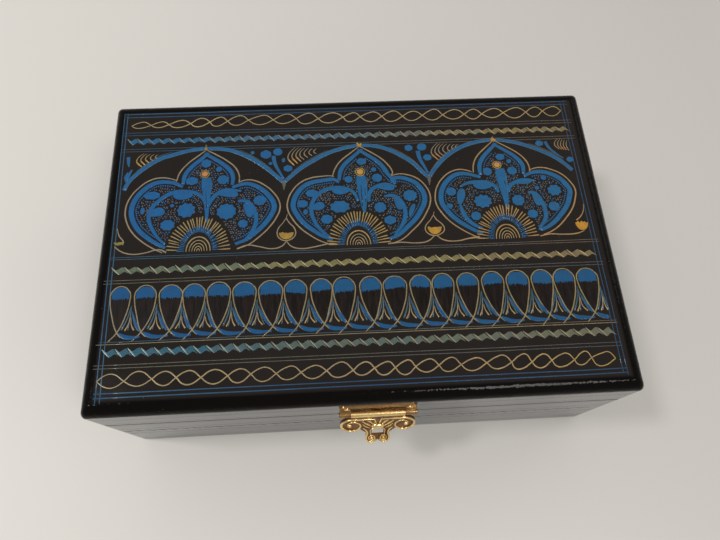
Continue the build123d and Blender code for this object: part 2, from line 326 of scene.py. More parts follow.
# %% [markdown]
# ** Black lacquer.** Real black lacquer is a very dark warm brown, with faint
# clouds of the coats beneath. Its gloss does the rest: it mirrors the table at
# a low angle and stays dark from above. Outside the ruled border, on the rounded
# rim of the lid, the black is painted darker as painted shade for the dark that
# the rim mirrors; its gloss is weaker there, and pitted.

# %% Finish: black lacquer
BARE_BOARD, DUST = (0.055, 0.033, 0.021, 1), (0.25, 0.23, 0.21, 1)
# Where the rim begins and ends: across from the middle, along from it, and up.
RIM_ACROSS, RIM_ALONG, RIM_UP = (0.1088, 0.1100), (0.0688, 0.0700), (0.0745, 0.0755)
tree, shader = new_finish("black_lacquer", IOR=1.42)
gloss = grouped(tree, "handled_gloss", Clean=0.07, Smeared=0.2, Dust=0.35)
rub = grouped(tree, "rubbed_edges", Amount=0.35)["Mask"]
across, along, height = axes(tree)
edge = maths(tree, "MAXIMUM", span(tree, maths(tree, "ABSOLUTE", across), *RIM_ACROSS),
             span(tree, maths(tree, "ABSOLUTE", along), *RIM_ALONG))
rim = maths(tree, "MULTIPLY", edge, span(tree, height, *RIM_UP))
clouds = blend(tree, span(tree, noise(tree, 30.0, 5.0, 0.65), 0.35, 0.7),
               (0.0050, 0.0024, 0.0016, 1), (0.0088, 0.0050, 0.0036, 1))
# Painted shade: the base colour is darkened on the rounded rim of the lid, for the dark that the rim
# mirrors.
clouds = blend(tree, rim, clouds, (0.0020, 0.0012, 0.0010, 1))
feed(tree, shader,
     Base_Color=blend(tree, gloss["Dust"], blend(tree, rub, clouds, BARE_BOARD), DUST),
     Roughness=maths(tree, "ADD", gloss["Roughness"], maths(tree, "MULTIPLY", rub, 0.5)),
     Specular_IOR_Level=span(tree, rim, 0.0, 1.0, 0.5, 0.13))
pits = maths(tree, "MULTIPLY", rim, noise(tree, 330.0, 2.0, 0.5))
bump(tree, shader, maths(tree, "ADD", gloss["Ripple"], maths(tree, "MULTIPLY", pits, 2.0)),
     0.25, 0.0004)

# %% [markdown]
# **Rubbed-down black.** Inside the petals the top coat is rubbed thin with fine
# upright strokes, so it looks darker and duller there, with a brown bloom.

# %% Finish: rubbed-down black
tree, shader = new_finish("belly_black", IOR=1.28)
stroke = noise(tree, 900.0, 3.0, 0.6, (1.0, 0.12, 1.0))
feed(tree, shader,
     Base_Color=blend(tree, span(tree, stroke, 0.42, 0.68), (0.0030, 0.0016, 0.0012, 1),
                      (0.0130, 0.0058, 0.0038, 1)),
     Roughness=span(tree, stroke, 0.3, 0.7, 0.3, 0.5))
bump(tree, shader, stroke, 0.3, 0.00006)

# %% [markdown]
# **Scratched colours.** All the inks share one recipe: three colours that drift
# along the box, broken by the scratching. Only the values differ, so they are
# kept in one list, mixed as on a palette with 0 to 255 of red, green and blue.

# %% Finish: the scratched colours
def paint(shades):
    """A colour from the palette, made linear for the shader."""
    parts = [shade / 255 for shade in shades]
    return (*(part / 12.92 if part < 0.04045 else ((part + 0.055) / 1.055) ** 2.4
              for part in parts), 1.0)


PALE_DUST = (0.3, 0.28, 0.26, 1)


def scratched(name, left, middle, right, skips, streaks, cloudiness=0.3, clean=0.16):
    """A lacquer colour laid bare by the stylus."""
    tree, shader = new_finish(name, IOR=1.42)
    drift = grouped(tree, "colour_drift", Left=paint(left), Middle=paint(middle),
                    Right=paint(right), Cloudiness=cloudiness)
    bare = grouped(tree, "hand_scratched", Color=drift["Color"], Skips=skips, Streaks=streaks)
    gloss = grouped(tree, "handled_gloss", Clean=clean, Smeared=clean + 0.18, Dust=0.2)
    feed(tree, shader, Roughness=gloss["Roughness"],
         Base_Color=blend(tree, gloss["Dust"], bare["Color"], PALE_DUST))
    bump(tree, shader, bare["Height"], 0.3, 0.00008)


# Name, the colours at the left, in the middle and at the right, skips, streaks,
# and for some inks the cloudiness and the roughness where clean.
INKS = (
    ("flower_blue", (20, 95, 152), (24, 96, 146), (28, 96, 142), 0.35, 0.3),
    ("petal_blue", (8, 82, 134), (12, 82, 128), (14, 80, 124), 0.25, 0.3),
    ("arch_blue", (30, 97, 149), (31, 97, 145), (33, 90, 132), 0.35, 0.3),
    ("pale_blue", (66, 116, 148), (70, 114, 140), (70, 110, 130), 0.5, 0.35),
    ("border_blue", (44, 96, 132), (34, 74, 112), (34, 72, 104), 0.45, 0.4),
    ("parting_blue", (46, 90, 114), (78, 92, 96), (106, 90, 68), 0.5, 0.45),
    ("parting_grey", (108, 108, 88), (102, 98, 82), (84, 86, 86), 0.55, 0.45),
    ("beige_gold", (150, 136, 112), (150, 132, 102), (166, 132, 84), 0.35, 0.25),
    ("chain_gold", (172, 153, 108), (162, 142, 106), (180, 150, 90), 0.35, 0.35),
    ("olive_gold", (146, 136, 104), (146, 132, 96), (148, 132, 88), 0.4, 0.35),
    ("sun_gold", (156, 140, 96), (166, 142, 88), (170, 134, 78), 0.35, 0.3),
    ("drop_gold", (136, 130, 60), (176, 136, 52), (190, 136, 38), 0.25, 0.35, 0.5),
    ("rope_first", (36, 98, 138), (84, 104, 108), (130, 112, 64), 0.35, 0.35, 0.6),
    ("rope_second", (90, 108, 92), (128, 122, 74), (122, 108, 76), 0.35, 0.35, 0.8),
    ("rope_third", (48, 98, 118), (88, 102, 92), (110, 108, 86), 0.35, 0.35, 0.8),
    ("glint_first", (104, 132, 152), (140, 142, 132), (176, 152, 102), 0.3, 0.3, 0.5),
    ("glint_second", (160, 160, 134), (176, 162, 118), (182, 160, 110), 0.3, 0.3, 0.5),
    ("glint_third", (132, 158, 156), (140, 138, 114), (150, 142, 112), 0.3, 0.3, 0.5),
    ("apricot", (190, 126, 84), (186, 146, 68), (184, 138, 88), 0.1, 0.2),
    ("wisp_blue", (70, 104, 122), (78, 100, 108), (66, 98, 114), 0.45, 0.35),
    ("flame_gold", (182, 152, 104), (172, 146, 100), (172, 146, 92), 0.3, 0.3),
    ("fan_gold", (152, 132, 88), (136, 128, 110), (140, 118, 84), 0.4, 0.3),
    ("fan_foot", (196, 152, 66), (184, 134, 70), (168, 118, 60), 0.3, 0.2),
    ("speck_pale", (90, 108, 122), (92, 106, 112), (88, 102, 108), 0.3, 0.2),
    ("speck_blue", (40, 88, 136), (42, 90, 128), (40, 84, 124), 0.3, 0.2),
    ("speck_brown", (96, 84, 88), (98, 86, 76), (92, 80, 76), 0.3, 0.2),
    ("side_blue", (36, 76, 104), (36, 76, 104), (36, 76, 104), 0.45, 0.4, 0.3, 0.06),
    ("side_teal", (50, 92, 96), (64, 92, 90), (74, 94, 80), 0.45, 0.4, 0.3, 0.06))
for ink in INKS:
    scratched(*ink)
print("inks:", len(INKS))

# %% [markdown]
# ** Brass.** The raised relief of the latch is bright gilt brass, painted lighter
# as a painted highlight. Its plate is painted duller as painted shade under the
# edge of the lid, and the stamped sheet between the relief is painted brown as
# painted shade. The hinges and nails at the back are plainer. All use the tarnish
# group on a metallic shader.

# %% Finish: brass for the latch, the hinges and the nails
# Painted light: latch_brass is darkened as painted shade on the plate, and the latch's shaded and
# lit copies paint shade on the hasp sheet and a highlight on the relief.
for name, polished, dull, spread, grain, strength in (
        ("latch_brass", (0.43, 0.265, 0.11, 1), (0.14, 0.07, 0.034, 1), 0.9, 500.0, 0.08),
        ("latch_hollow", (0.25, 0.132, 0.060, 1), (0.075, 0.032, 0.020, 1), 0.9, 500.0, 0.08),
        ("latch_bright", (0.95, 0.72, 0.34, 1), (0.55, 0.32, 0.10, 1), 0.5, 500.0, 0.08),
        ("hinge_brass", (0.74, 0.54, 0.26, 1), (0.33, 0.20, 0.08, 1), 0.7, 900.0, 0.15),
        ("nail_brass", (0.80, 0.57, 0.26, 1), (0.36, 0.21, 0.08, 1), 0.6, 500.0, 0.08)):
    tree, shader = new_finish(name, Metallic=1.0)
    metal = grouped(tree, "tarnish", Polished=polished, Dull=dull, Spread=spread, Grain=grain)
    feed(tree, shader, Base_Color=metal["Color"], Roughness=metal["Roughness"])
    bump(tree, shader, metal["Height"], strength, 0.00005)

# %% [markdown]
# **Velvet.** The pile is thousands of fibres that shine at their sides, so the
# shader's sheen does most of the work. Noise crushes the pile in patches, and a
# fine grain stands for the single tufts.

# %% Finish: crimson velvet
tree, shader = new_finish("crimson_velvet", Roughness=0.9, Sheen_Weight=0.3,
                          Sheen_Roughness=0.3, Sheen_Tint=(0.8, 0.25, 0.28, 1.0))
crushed = span(tree, noise(tree, 95.0, 5.0, 0.65), 0.35, 0.7)
tuft = noise(tree, 2600.0, 2.0, 0.5)
nap = blend(tree, crushed, (0.17, 0.006, 0.014, 1), (0.27, 0.013, 0.026, 1))
feed(tree, shader, Base_Color=blend(tree, span(tree, tuft, 0.35, 0.65, 0.55, 0.0), nap,
                                    (0.07, 0.002, 0.008, 1)))
bump(tree, shader, maths(tree, "ADD", tuft, maths(tree, "MULTIPLY", crushed, 1.5)), 0.5, 0.0002)

# %% [markdown]
# ## Dress the solids
# The boards all take the same black lacquer, so their joints disappear as they
# do under the real coats. Each solid has one material slot, which is named
# after its finish in the record. The hasp alone is painted browner than its slot
# says, as painted shade between the bright relief that is laid over it later.

# %% Give every solid its finish
FINISH_OF = {"lacquered_board": "black_lacquer", "velvet": "crimson_velvet"}
for name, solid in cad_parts.items():
    for holder in solid.material_slots:
        label = holder.material.name.split(".")[0]
        # The hasp takes the latch brass in painted shade.
        finish = "latch_hollow" if name == "hasp" else FINISH_OF.get(label, label)
        holder.material = FINISHES[finish]
    print(name, "->", [holder.material.name for holder in solid.material_slots])


def dress(piece, finish, body):
    """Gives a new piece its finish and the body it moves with."""
    piece.data.materials.clear()
    piece.data.materials.append(FINISHES[finish])
    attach(piece, body)


# %% [markdown]
# ## The stylus, the brush and the punch
# Three tools make the whole pattern. The stylus leaves a line with a burr along
# each side. In Blender that is a curve swept with a small closed profile, whose
# width follows each point's radius. The brush lays a flat patch with an
# outline, which is a flat curve, filled and given a little thickness. The punch
# sets hundreds of dots, so one dot is modelled and its mesh is copied.
#
# Every mark is made in millimetres on a flat sheet, seen from outside, and is
# then laid on the lid or against a side. It is sunk a little into the lacquer
# and stands proud of it by less than 0.15 millimetres.

# %% Where the sheets lie
LID_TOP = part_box("lid_panel")[1].z / MM
HALF_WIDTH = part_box("base_left_wall")[0].x / -MM
HALF_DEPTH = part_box("base_front_wall")[0].y / -MM
TOP_SHEET = (Vector((0, 0, LID_TOP)), (0, 0, 0))
# The ruled bands lie a touch askew: they fall half a millimetre along the lid.
RULED_SHEET = (Vector((0, -0.25, LID_TOP)), (0, 0, -0.5 / 220))
# A side sheet's X runs along the side and its Y is the height above the table.
SIDE_SHEETS = {
    "front": (Vector((0, -HALF_DEPTH, 0)), (math.pi / 2, 0, 0)),
    "back": (Vector((0, HALF_DEPTH, 0)), (math.pi / 2, 0, math.pi)),
    "left": (Vector((-HALF_WIDTH, 0, 0)), (math.pi / 2, 0, -math.pi / 2)),
    "right": (Vector((HALF_WIDTH, 0, 0)), (math.pi / 2, 0, math.pi / 2))}
print("top of the lid", LID_TOP, "half width", HALF_WIDTH, "half depth", HALF_DEPTH)


def lay(mark, sheet, proud):
    """Lays a mark on a sheet, so much proud of it, and settles it there."""
    at, turn = sheet
    mark.location = at * MM
    mark.rotation_euler = turn
    outward = mark.rotation_euler.to_matrix() @ Vector((0, 0, 1))
    mark.location += outward * proud * MM
    settle(mark)


# %% Drawing curves and making them solid
def drawing_board(flat=False):
    """A new curve with nothing on it yet."""
    pick()
    bpy.ops.curve.primitive_nurbs_path_add()
    drawing = bpy.context.object.data
    drawing.splines.clear()
    drawing.dimensions = "2D" if flat else "3D"
    return drawing


def closed_outline(drawing, points):
    """Draws a closed outline with straight sides, in millimetres."""
    edge = drawing.splines.new("POLY")
    edge.points.add(len(points) - 1)
    for point, (x, y) in zip(edge.points, points):
        point.co = (x * MM, y * MM, 0, 1)
    edge.use_cyclic_u = True


def smooth_line(drawing, spots, radii, steps):
    """Draws a smooth line through these spots, which swells and thins."""
    line = drawing.splines.new("BEZIER")
    line.bezier_points.add(len(spots) - 1)
    for knot, spot, radius in zip(line.bezier_points, spots, radii):
        knot.co = spot
        knot.handle_left_type = knot.handle_right_type = "AUTO"
        knot.radius = radius
    line.resolution_u = steps
    return line


def as_mesh(name):
    """Turns the curve just drawn into a clean mesh with this name."""
    bpy.ops.object.convert(target="MESH")
    mark = bpy.context.object
    mark.name = mark.data.name = name
    weld(mark)
    return mark


# %% The stylus
def stylus_tip(height):
    """The closed cross-section of a line whose half width is one millimetre."""
    drawing = drawing_board()
    closed_outline(drawing, [(-1, -0.3 * height), (-0.72, height), (0, 0.45 * height),
                             (0.72, height), (1, -0.3 * height)])
    return bpy.context.object


def widths_along(width, count):
    """Spreads one width, or a row of widths, evenly over the points."""
    row = width if isinstance(width, tuple) else (width, width)
    spread = []
    for index in range(count):
        at = index / max(count - 1, 1) * (len(row) - 1)
        low = min(int(at), len(row) - 2)
        spread.append(row[low] + (row[low + 1] - row[low]) * (at - low))
    return spread


def scratch(name, lines, sheet=TOP_SHEET, height=0.07, proud=0.0, steps=4):
    """Scratches lines, each (points, width) or (points, width, True) if closed."""
    tip = stylus_tip(height)
    drawing = drawing_board()
    drawing.twist_mode = "Z_UP"
    for points, width, *closed in lines:
        line = smooth_line(drawing, [(x * MM, y * MM, 0) for x, y in points],
                           [wide / 2 for wide in widths_along(width, len(points))],
                           steps if len(points) > 2 else 1)
        line.use_cyclic_u = bool(closed)
    drawing.bevel_mode = "OBJECT"
    drawing.bevel_object = tip
    drawing.use_fill_caps = True
    mark = as_mesh(name)
    lay(mark, sheet, proud)
    pick(tip)
    bpy.ops.object.delete()
    return mark


# %% The brush
PATCH_THICKNESS = 0.06


def brush(name, outlines, sheet=TOP_SHEET, proud=0.02):
    """Lays flat patches with these outlines, which don't cross each other."""
    drawing = drawing_board(flat=True)
    drawing.fill_mode = "BOTH"
    drawing.extrude = PATCH_THICKNESS / 2 * MM
    for outline in outlines:
        closed_outline(drawing, outline)
    mark = as_mesh(name)
    lay(mark, sheet, proud)
    return mark


# %% The punch
def punch(name, spots, proud=0.03):
    """Sets dots on the lid, each (x, y, radius), all copied from one modelled dot."""
    pick()
    bpy.ops.mesh.primitive_cylinder_add(
        vertices=7, radius=1.0, depth=0.08, end_fill_type="NGON", location=(0, 0, 0))
    dot = bpy.context.object
    choose(dot, "FACE", lambda face: face.normal.z > 0.9)
    bpy.ops.mesh.inset(thickness=0.4, depth=0.03)
    bpy.ops.object.mode_set(mode="OBJECT")
    corners = [tuple(corner.co) for corner in dot.data.vertices]
    faces = [tuple(face.vertices) for face in dot.data.polygons]
    pick(dot)
    bpy.ops.object.delete()
    points, rings = [], []
    for x, y, radius in spots:
        first = len(points)
        points += [((x + a * radius) * MM, (y + b * radius) * MM, c * MM) for a, b, c in corners]
        rings += [tuple(first + corner for corner in face) for face in faces]
    dots = bpy.data.meshes.new(name)
    dots.from_pydata(points, [], rings)
    mark = bpy.data.objects.new(name, dots)
    bpy.context.collection.objects.link(mark)
    lay(mark, TOP_SHEET, proud)
    return mark


def on_lid(mark, finish):
    """Dresses a mark that moves with the lid."""
    dress(mark, finish, "lid")


# %% The hand
hand = random.Random(7)


def shaky(amount):
    """A small slip of the hand, in millimetres."""
    return hand.uniform(-amount, amount)


def by_hand(start, end, level, slip, width):
    """A line along X that is nearly straight, because its level slips a little."""
    last = 11
    return ([(start + (end - start) * i / last, level + shaky(slip)) for i in range(last + 1)],
            width)


# %% [markdown]
# ## Ruled lines
# The maker first rules the field: a double blue border all round, and pairs of
# thin lines that part the bands. They are ruled by hand against a strip, so
# they run nearly straight, a touch askew, and cross at the corners.

# %% Border and ruled pairs
RULED_END = 107.9


def ruled(y, start=-109.2, width=0.32):
    """One nearly straight line across the lid."""
    return by_hand(start, RULED_END, y, 0.07, width)


def upright(x, low, high, width, lean):
    """One nearly straight line up the lid, leaning to the left at its top."""
    last = 8
    return ([(x - lean * i / last + shaky(0.06), low + (high - low) * i / last)
             for i in range(last + 1)], width)


on_lid(scratch("border_lines", [
    upright(-108.2, -70.6, 69.6, 0.4, 1.6), upright(-106.4, -69.9, 69.4, 0.44, 2.0),
    upright(105.7, -68.3, 69.2, 0.4, 1.2), upright(107.5, -69.0, 69.4, 0.4, 1.4),
    ruled(68.9, width=0.55), ruled(67.0, width=0.42),
    ruled(-66.1, width=0.46), ruled(-67.9, width=0.5)], steps=2), "border_blue")
for name, lines, finish in (
        ("parting_lines_blue",
         [ruled(y) for y in (58.1, 56.6, 48.8, 47.5, -6.9, -7.9, -45.0)], "parting_blue"),
        ("parting_lines_grey",
         [ruled(y, -110.4, width=0.3) for y in (-17.75, -19.1, -54.6, -56.0)], "parting_grey"),
        ("parting_line_gold", [ruled(-45.9, -110.4, width=0.3)], "olive_gold")):
    on_lid(scratch(name, lines, RULED_SHEET, steps=2), finish)

# %% [markdown]
# ## The chains
# Two wavy lines that cross at every loop make a chain. Each is one pull of the
# stylus from end to end, so the loops come out uneven. The list gives where the
# lines cross, and the helper swings each line above and below in turn.

# %% Two chains
def chain(crossings, levels, half_heights, start, end, leans):
    """Two crossing strands: their lines for the stylus."""
    strands = []
    for side in (1, -1):
        points, up = [(start, levels[0])], side
        knots = [start] + list(crossings) + [end]
        for index, (left, right) in enumerate(zip(knots, knots[1:])):
            part = index / (len(knots) - 2)
            level = levels[0] + (levels[1] - levels[0]) * min(part * 4, 1)
            half = half_heights[0] + (half_heights[1] - half_heights[0]) * min(part * 4, 1)
            half += shaky(0.3)
            level += shaky(0.3)
            wide = right - left
            lean = leans[0] + (leans[1] - leans[0]) * part
            middle = (left + right) / 2 + up * lean * wide + shaky(0.3)
            points += [(middle - wide * 0.2, level + up * half * 0.84),
                       (middle + wide * 0.1, level + up * half),
                       (right, level + shaky(0.25))]
            up = -up
        strands.append((points, (0.4, 0.6, 0.46, 0.62, 0.5, 0.56, 0.4)))
    return strands


FIRST_CHAIN = (-97.3, -88.1, -78.1, -68.9, -60.4, -50.1, -38.0, -27.3, -16.6, -4.4,
               4.4, 14.7, 24.7, 35.0, 44.6, 55.7, 64.1, 75.2, 86.3, 94.7)
SECOND_CHAIN = (-97.5, -86.6, -76.8, -66.7, -56.4, -46.6, -36.5, -26.2, -15.8, -5.5,
                3.7, 12.2, 20.6, 30.2, 39.1, 50.1, 60.1, 68.6, 77.0, 86.6, 94.0)
for name, strands in (
        ("chain_far", chain(FIRST_CHAIN, (62.2, 63.5), (1.6, 2.9), -106.2, 103.9, (0.1, 0.05))),
        ("chain_near",
         chain(SECOND_CHAIN, (-61.1, -61.0), (2.9, 2.8), -108.4, 103.9, (0.0, 0.16)))):
    over, under = strands
    on_lid(join(name, [scratch(name, [over], RULED_SHEET, proud=0.012),
                       scratch(name, [under], RULED_SHEET)]), "chain_gold")

# %% [markdown]
# ## The ropes
# A rope band is a row of leaning strands with a bright short stroke between
# them, which reads as a twisted cord. The strand has a hump above and a hollow
# below, and it is drawn with a little slip of the hand each time.

# %% Three ropes
# The outline of a strand, in parts of the rope's pitch and half height.
TWIST = ((0.10, 0.72), (0.28, 0.36), (0.42, 0.22), (0.56, 0.42), (0.72, 0.76), (0.86, 0.95),
         (0.96, 0.98), (1.02, 0.68), (1.17, 0.16), (1.33, -0.36), (1.48, -0.86), (1.36, -0.70),
         (1.20, -0.42), (1.06, -0.30), (0.93, -0.50), (0.80, -0.84), (0.68, -1.0), (0.58, -0.84),
         (0.42, -0.28), (0.26, 0.24))


def twisted(level, half, pitch, start, end):
    """The strands of a twisted rope, and the strokes between them."""
    strands, strokes = [], []
    x = start
    while x + pitch * 1.3 < end:
        step = pitch + shaky(0.3)
        slip, tall = shaky(0.12), half + shaky(0.2)
        strands.append([(x + step * across, level + slip + tall * up) for across, up in TWIST])
        strokes.append((
            [(x + step * 0.04, level + tall + slip), (x + step * 0.34, level + tall * 0.08),
             (x + step * 0.66, level - tall * 0.98 + slip)], (0.3, 0.8, 0.34)))
        x += step
    return strands, strokes


def strands_laid(name, strands, sheet):
    """Lays the strands in two turns, each turn over the edges of the other."""
    return join(name, [brush(name, strands[0::2], sheet, 0.02),
                       brush(name + "_odd", strands[1::2], sheet, 0.028)])


for place_name, finish_name, level, half, pitch, start, end in (
        ("far", "first", 52.9, 1.64, 4.8, -107.6, 105.2),
        ("middle", "second", -13.4, 1.7, 5.4, -108.0, 109.4),
        ("near", "third", -49.7, 1.76, 5.3, -108.0, 107.4)):
    name = "rope_" + place_name
    strands, strokes = twisted(level, half, pitch, start, end)
    on_lid(strands_laid(name + "_strands", strands, RULED_SHEET), "rope_" + finish_name)
    on_lid(scratch(name + "_strokes", strokes, RULED_SHEET, proud=0.05), "glint_" + finish_name)

# %% [markdown]
# ## The petal band
# Twenty loops stand side by side. Each is one pull of the stylus that starts at
# its foot, goes round the head and crosses itself near the bottom. Its head is
# brushed blue with a ragged lower edge, blue crescents run from foot to foot,
# and small flames fill the gaps. Every loop is given by its left and right
# side and by where it crosses itself, because no two of them are alike.

# %% Petal loops
LOOPS = [
    (-106.7, -98.4, -102.5), (-96.5, -87.6, -92.5), (-86.1, -76.6, -80.9),
    (-76.2, -66.9, -71.5), (-66.0, -56.2, -61.1), (-55.0, -45.3, -49.2),
    (-44.0, -34.0, -38.0), (-33.1, -23.6, -27.3), (-21.8, -12.7, -16.3),
    (-12.2, -2.7, -6.5), (-0.6, 8.6, 4.7), (9.6, 19.5, 14.5), (21.2, 30.1, 25.5),
    (30.9, 40.1, 36.3), (41.7, 50.9, 46.8), (52.6, 62.0, 58.2), (63.4, 73.1, 69.1),
    (74.5, 83.6, 79.9), (84.2, 93.4, 88.8), (94.6, 103.8, 99.4)]
HEAD, BELLY, CROSS = -20.7, -25.8, -41.1   # the heights of head, belly and crossing
TOOTH = 0.42   # half a tooth of a head's ragged edge


def petal_loop(left, right, cross):
    """One loop of the stylus, from tail to tail."""
    middle, wide = (left + right) / 2, right - left
    tip = HEAD + shaky(0.3)
    return ([(cross - wide * 0.42, -45.4 + shaky(0.4)), (cross, CROSS),
             (right - wide * 0.15, -34.0), (right, BELLY - 1.2), (right - wide * 0.015, BELLY + 2.0),
             (right - wide * 0.13, tip - 1.5), (middle + wide * 0.19, tip - 0.15),
             (middle - wide * 0.2, tip - 0.1), (left + wide * 0.11, tip - 1.5),
             (left + wide * 0.005, BELLY + 2.0), (left, BELLY - 1.0), (left + wide * 0.16, -33.4),
             (cross, CROSS), (cross + wide * 0.22, -43.2)],
            (0.38, 0.64, 0.52, 0.5, 0.55, 0.46, 0.54, 0.6, 0.5, 0.52, 0.56, 0.5))


def petal_head(left, right, _):
    """The brushed head: smooth above, ragged below."""
    wide = right - left
    foot, tilt = -26.3 + shaky(0.6), shaky(0.9)
    top = [(left + wide * part, HEAD - drop) for part, drop in (
        (0.06, 5.2), (0.06, 3.2), (0.12, 1.8), (0.28, 0.6), (0.5, 0.4), (0.72, 0.6),
        (0.88, 1.8), (0.94, 3.2), (0.94, 5.2))]
    teeth, count = [], int(wide / TOOTH)
    for index in range(count + 1):
        across = left + wide * (0.94 - 0.88 * index / count)
        level = foot + tilt * (index / count - 0.5)
        teeth.append((across, level - abs(shaky(1.1)) * (index % 2) + shaky(0.2)))
    return top + teeth


loops = [petal_loop(*loop) for loop in LOOPS]
odd = scratch("petal_loops", loops[0::2], RULED_SHEET, proud=0.014)
even = scratch("petal_loops_even", loops[1::2], RULED_SHEET)
on_lid(join("petal_loops", [odd, even]), "olive_gold")


def petal_belly(left, right, cross):
    """The rubbed ground inside a loop, under its head."""
    wide = right - left
    return [(left + wide * 0.07, BELLY), (right - wide * 0.06, BELLY - 0.4),
            (right - wide * 0.1, -30.2), (right - wide * 0.2, -34.4),
            (cross + wide * 0.07, -39.4), (cross, -40.0), (cross - wide * 0.07, -39.4),
            (left + wide * 0.21, -33.8), (left + wide * 0.1, -29.6)]


on_lid(brush("petal_bellies", [petal_belly(*loop) for loop in LOOPS], RULED_SHEET, -0.012),
       "belly_black")
on_lid(brush("petal_heads", [petal_head(*loop) for loop in LOOPS], RULED_SHEET, 0.0),
       "petal_blue")
streaks = []
for left, right, _ in LOOPS:
    for part in (0.2, 0.34, 0.47, 0.6, 0.74, 0.86):
        x = left + (right - left) * (part + shaky(0.05))
        streaks.append(([(x, -25.6 + shaky(0.4)), (x + shaky(0.15), -27.0 + shaky(0.5))],
                        (0.5, 0.12)))
on_lid(scratch("petal_streaks", streaks, RULED_SHEET, height=0.03), "petal_blue")
print("petals:", len(loops))

# %% Crescents, wedges and flames between the petals
def tuft(gap, top, top_slip, middle, foot, foot_slip, widths):
    """One short stroke in the gap between two petals, from its top to its foot."""
    return ([(gap + top[0], top[1] + shaky(top_slip)), (gap + middle[0], middle[1]),
             (gap + foot[0] + shaky(foot_slip), foot[1])], widths)


BAND_END = 105   # the last petal stops short of the border
crescents, wedges, flames, wisps = [], [], [], []
feet = LOOPS + [(104.4, 115.0, 108.5)]
for (left, right, cross), (next_left, _, next_cross) in zip(feet, feet[1:]):
    gap = (right + next_left) / 2
    crescents.append((
        [(cross + 0.7, -41.3), (cross + 2.4, -42.5 + shaky(0.2)), (cross + 5.2, -43.2 + shaky(0.2)),
         (min(next_cross - 0.4, BAND_END + 0.2), -43.1 + shaky(0.2))], (0.9, 1.9, 2.3, 1.9, 0.9)))
    if next_cross < BAND_END:
        reach = next_cross - gap
        wedges.append((
            [(gap + 0.25, -31.0 + shaky(0.5)), (gap + reach * 0.3, -35.2),
             (gap + reach * 0.6 + shaky(0.2), -38.6), (gap + reach * 0.86, -40.9)],
            (0.25, 1.2, 1.9 + shaky(0.35), 0.9)))
    keep = 0.5 if next_cross > BAND_END else 1.0
    flames += [
        tuft(gap, (0.05, -33.4), 0.8, (-0.5, -37.2), (-2.0, -40.4), 0.3, (0.2, 0.36, 0.56)),
        tuft(gap, (0.2, -34.8), 0.8, (0.7 * keep, -38.0), (2.1 * keep, -40.3), 0.4,
             (0.2, 0.4, 0.66))]
    wisps += [
        tuft(gap, (-0.25, -29.6), 0.8, (-1.3, -35.2), (-3.3, -40.0), 0.3, (0.2, 0.5, 0.8)),
        tuft(gap, (0.0, -29.2), 0.6, (-0.1, -34.0), (-0.9, -40.2), 0.3, (0.2, 0.6, 0.5)),
        tuft(gap, (0.35, -31.5), 0.8, (1.7 * keep, -36.5), (3.3 * keep, -40.2), 0.3,
             (0.2, 0.45, 0.5))]
for name, lines, height, proud, finish in (
        ("petal_crescents", crescents, 0.04, -0.004, "petal_blue"),
        ("petal_wedges", wedges, 0.04, -0.008, "petal_blue"),
        ("petal_wisps", wisps, 0.06, 0.004, "wisp_blue"),
        ("petal_flames", flames, 0.09, 0.008, "flame_gold")):
    on_lid(scratch(name, lines, RULED_SHEET, height, proud), finish)
    print(name, len(lines))

# %% [markdown]
# ## The arches
# Three pointed arches span the field. Each is a broad blue line with a paler
# border, so a wide pale stroke is laid first and a narrower blue one over it.
# They spring from a knot at the top of each flower and meet in a small drop.

# %% Blue arches with pale borders
LIFT = 0.012   # the border is sunk by this and the line on it raised


def bordered(name, lines, finish, border, height=0.05, proud=0.0):
    """A broad line over a slightly broader, paler one."""
    under = [(points, tuple(width + border for width in widths)) for points, widths in lines]
    on_lid(scratch(name + "_border", under, height=height, proud=proud - LIFT), "pale_blue")
    on_lid(scratch(name, lines, height=height, proud=proud + LIFT), finish)


ARCH_LINES = [
    [(-70.6, 47.9), (-78.4, 46.9), (-85.0, 45.0), (-91.0, 43.0), (-97.0, 38.9), (-101.5, 34.8),
     (-104.4, 31.2), (-106.3, 26.6)],
    [(-69.4, 47.9), (-59.4, 46.8), (-54.2, 44.8), (-48.9, 41.8), (-43.7, 38.0), (-38.4, 33.2),
     (-33.4, 28.0)],
    [(2.2, 47.0), (-4.9, 45.6), (-12.4, 43.1), (-19.0, 39.4), (-25.0, 35.4), (-29.8, 31.2),
     (-33.0, 28.0)],
    [(3.6, 47.0), (10.4, 46.2), (17.0, 43.8), (22.4, 40.4), (27.8, 36.0), (32.0, 30.8),
     (34.4, 28.0)],
    [(67.1, 47.7), (58.0, 46.3), (51.2, 43.8), (44.9, 39.8), (39.0, 34.0), (34.7, 28.0)],
    [(68.5, 47.7), (77.3, 45.9), (84.5, 43.2), (90.4, 40.2), (95.6, 36.9), (99.9, 33.0),
     (103.2, 29.0)]]
ECHO_ABOVE = 1.75
bordered("arch_lines", [(line, (1.7, 2.1, 2.1, 2.0, 1.8)) for line in ARCH_LINES], "arch_blue",
         0.3)
on_lid(scratch("arch_echoes", [
    ([(x, y + ECHO_ABOVE) for x, y in line[2:6]], (0.2, 0.42, 0.36, 0.2)) for line in ARCH_LINES],
    height=0.05), "parting_blue")
on_lid(scratch("arch_drops", [
    ([(x, 28.9), (x + 0.1, 27.0), (x, 23.8)], (1.0, 1.8, 0.3)) for x in (-33.2, 34.5)]
    + [([(x, y + 2.0), (x, y), (x, y - 1.6)], (0.4, 1.5, 0.5))
       for x, y in ((-69.9, 48.2), (67.7, 47.6))], proud=0.03), "parting_grey")
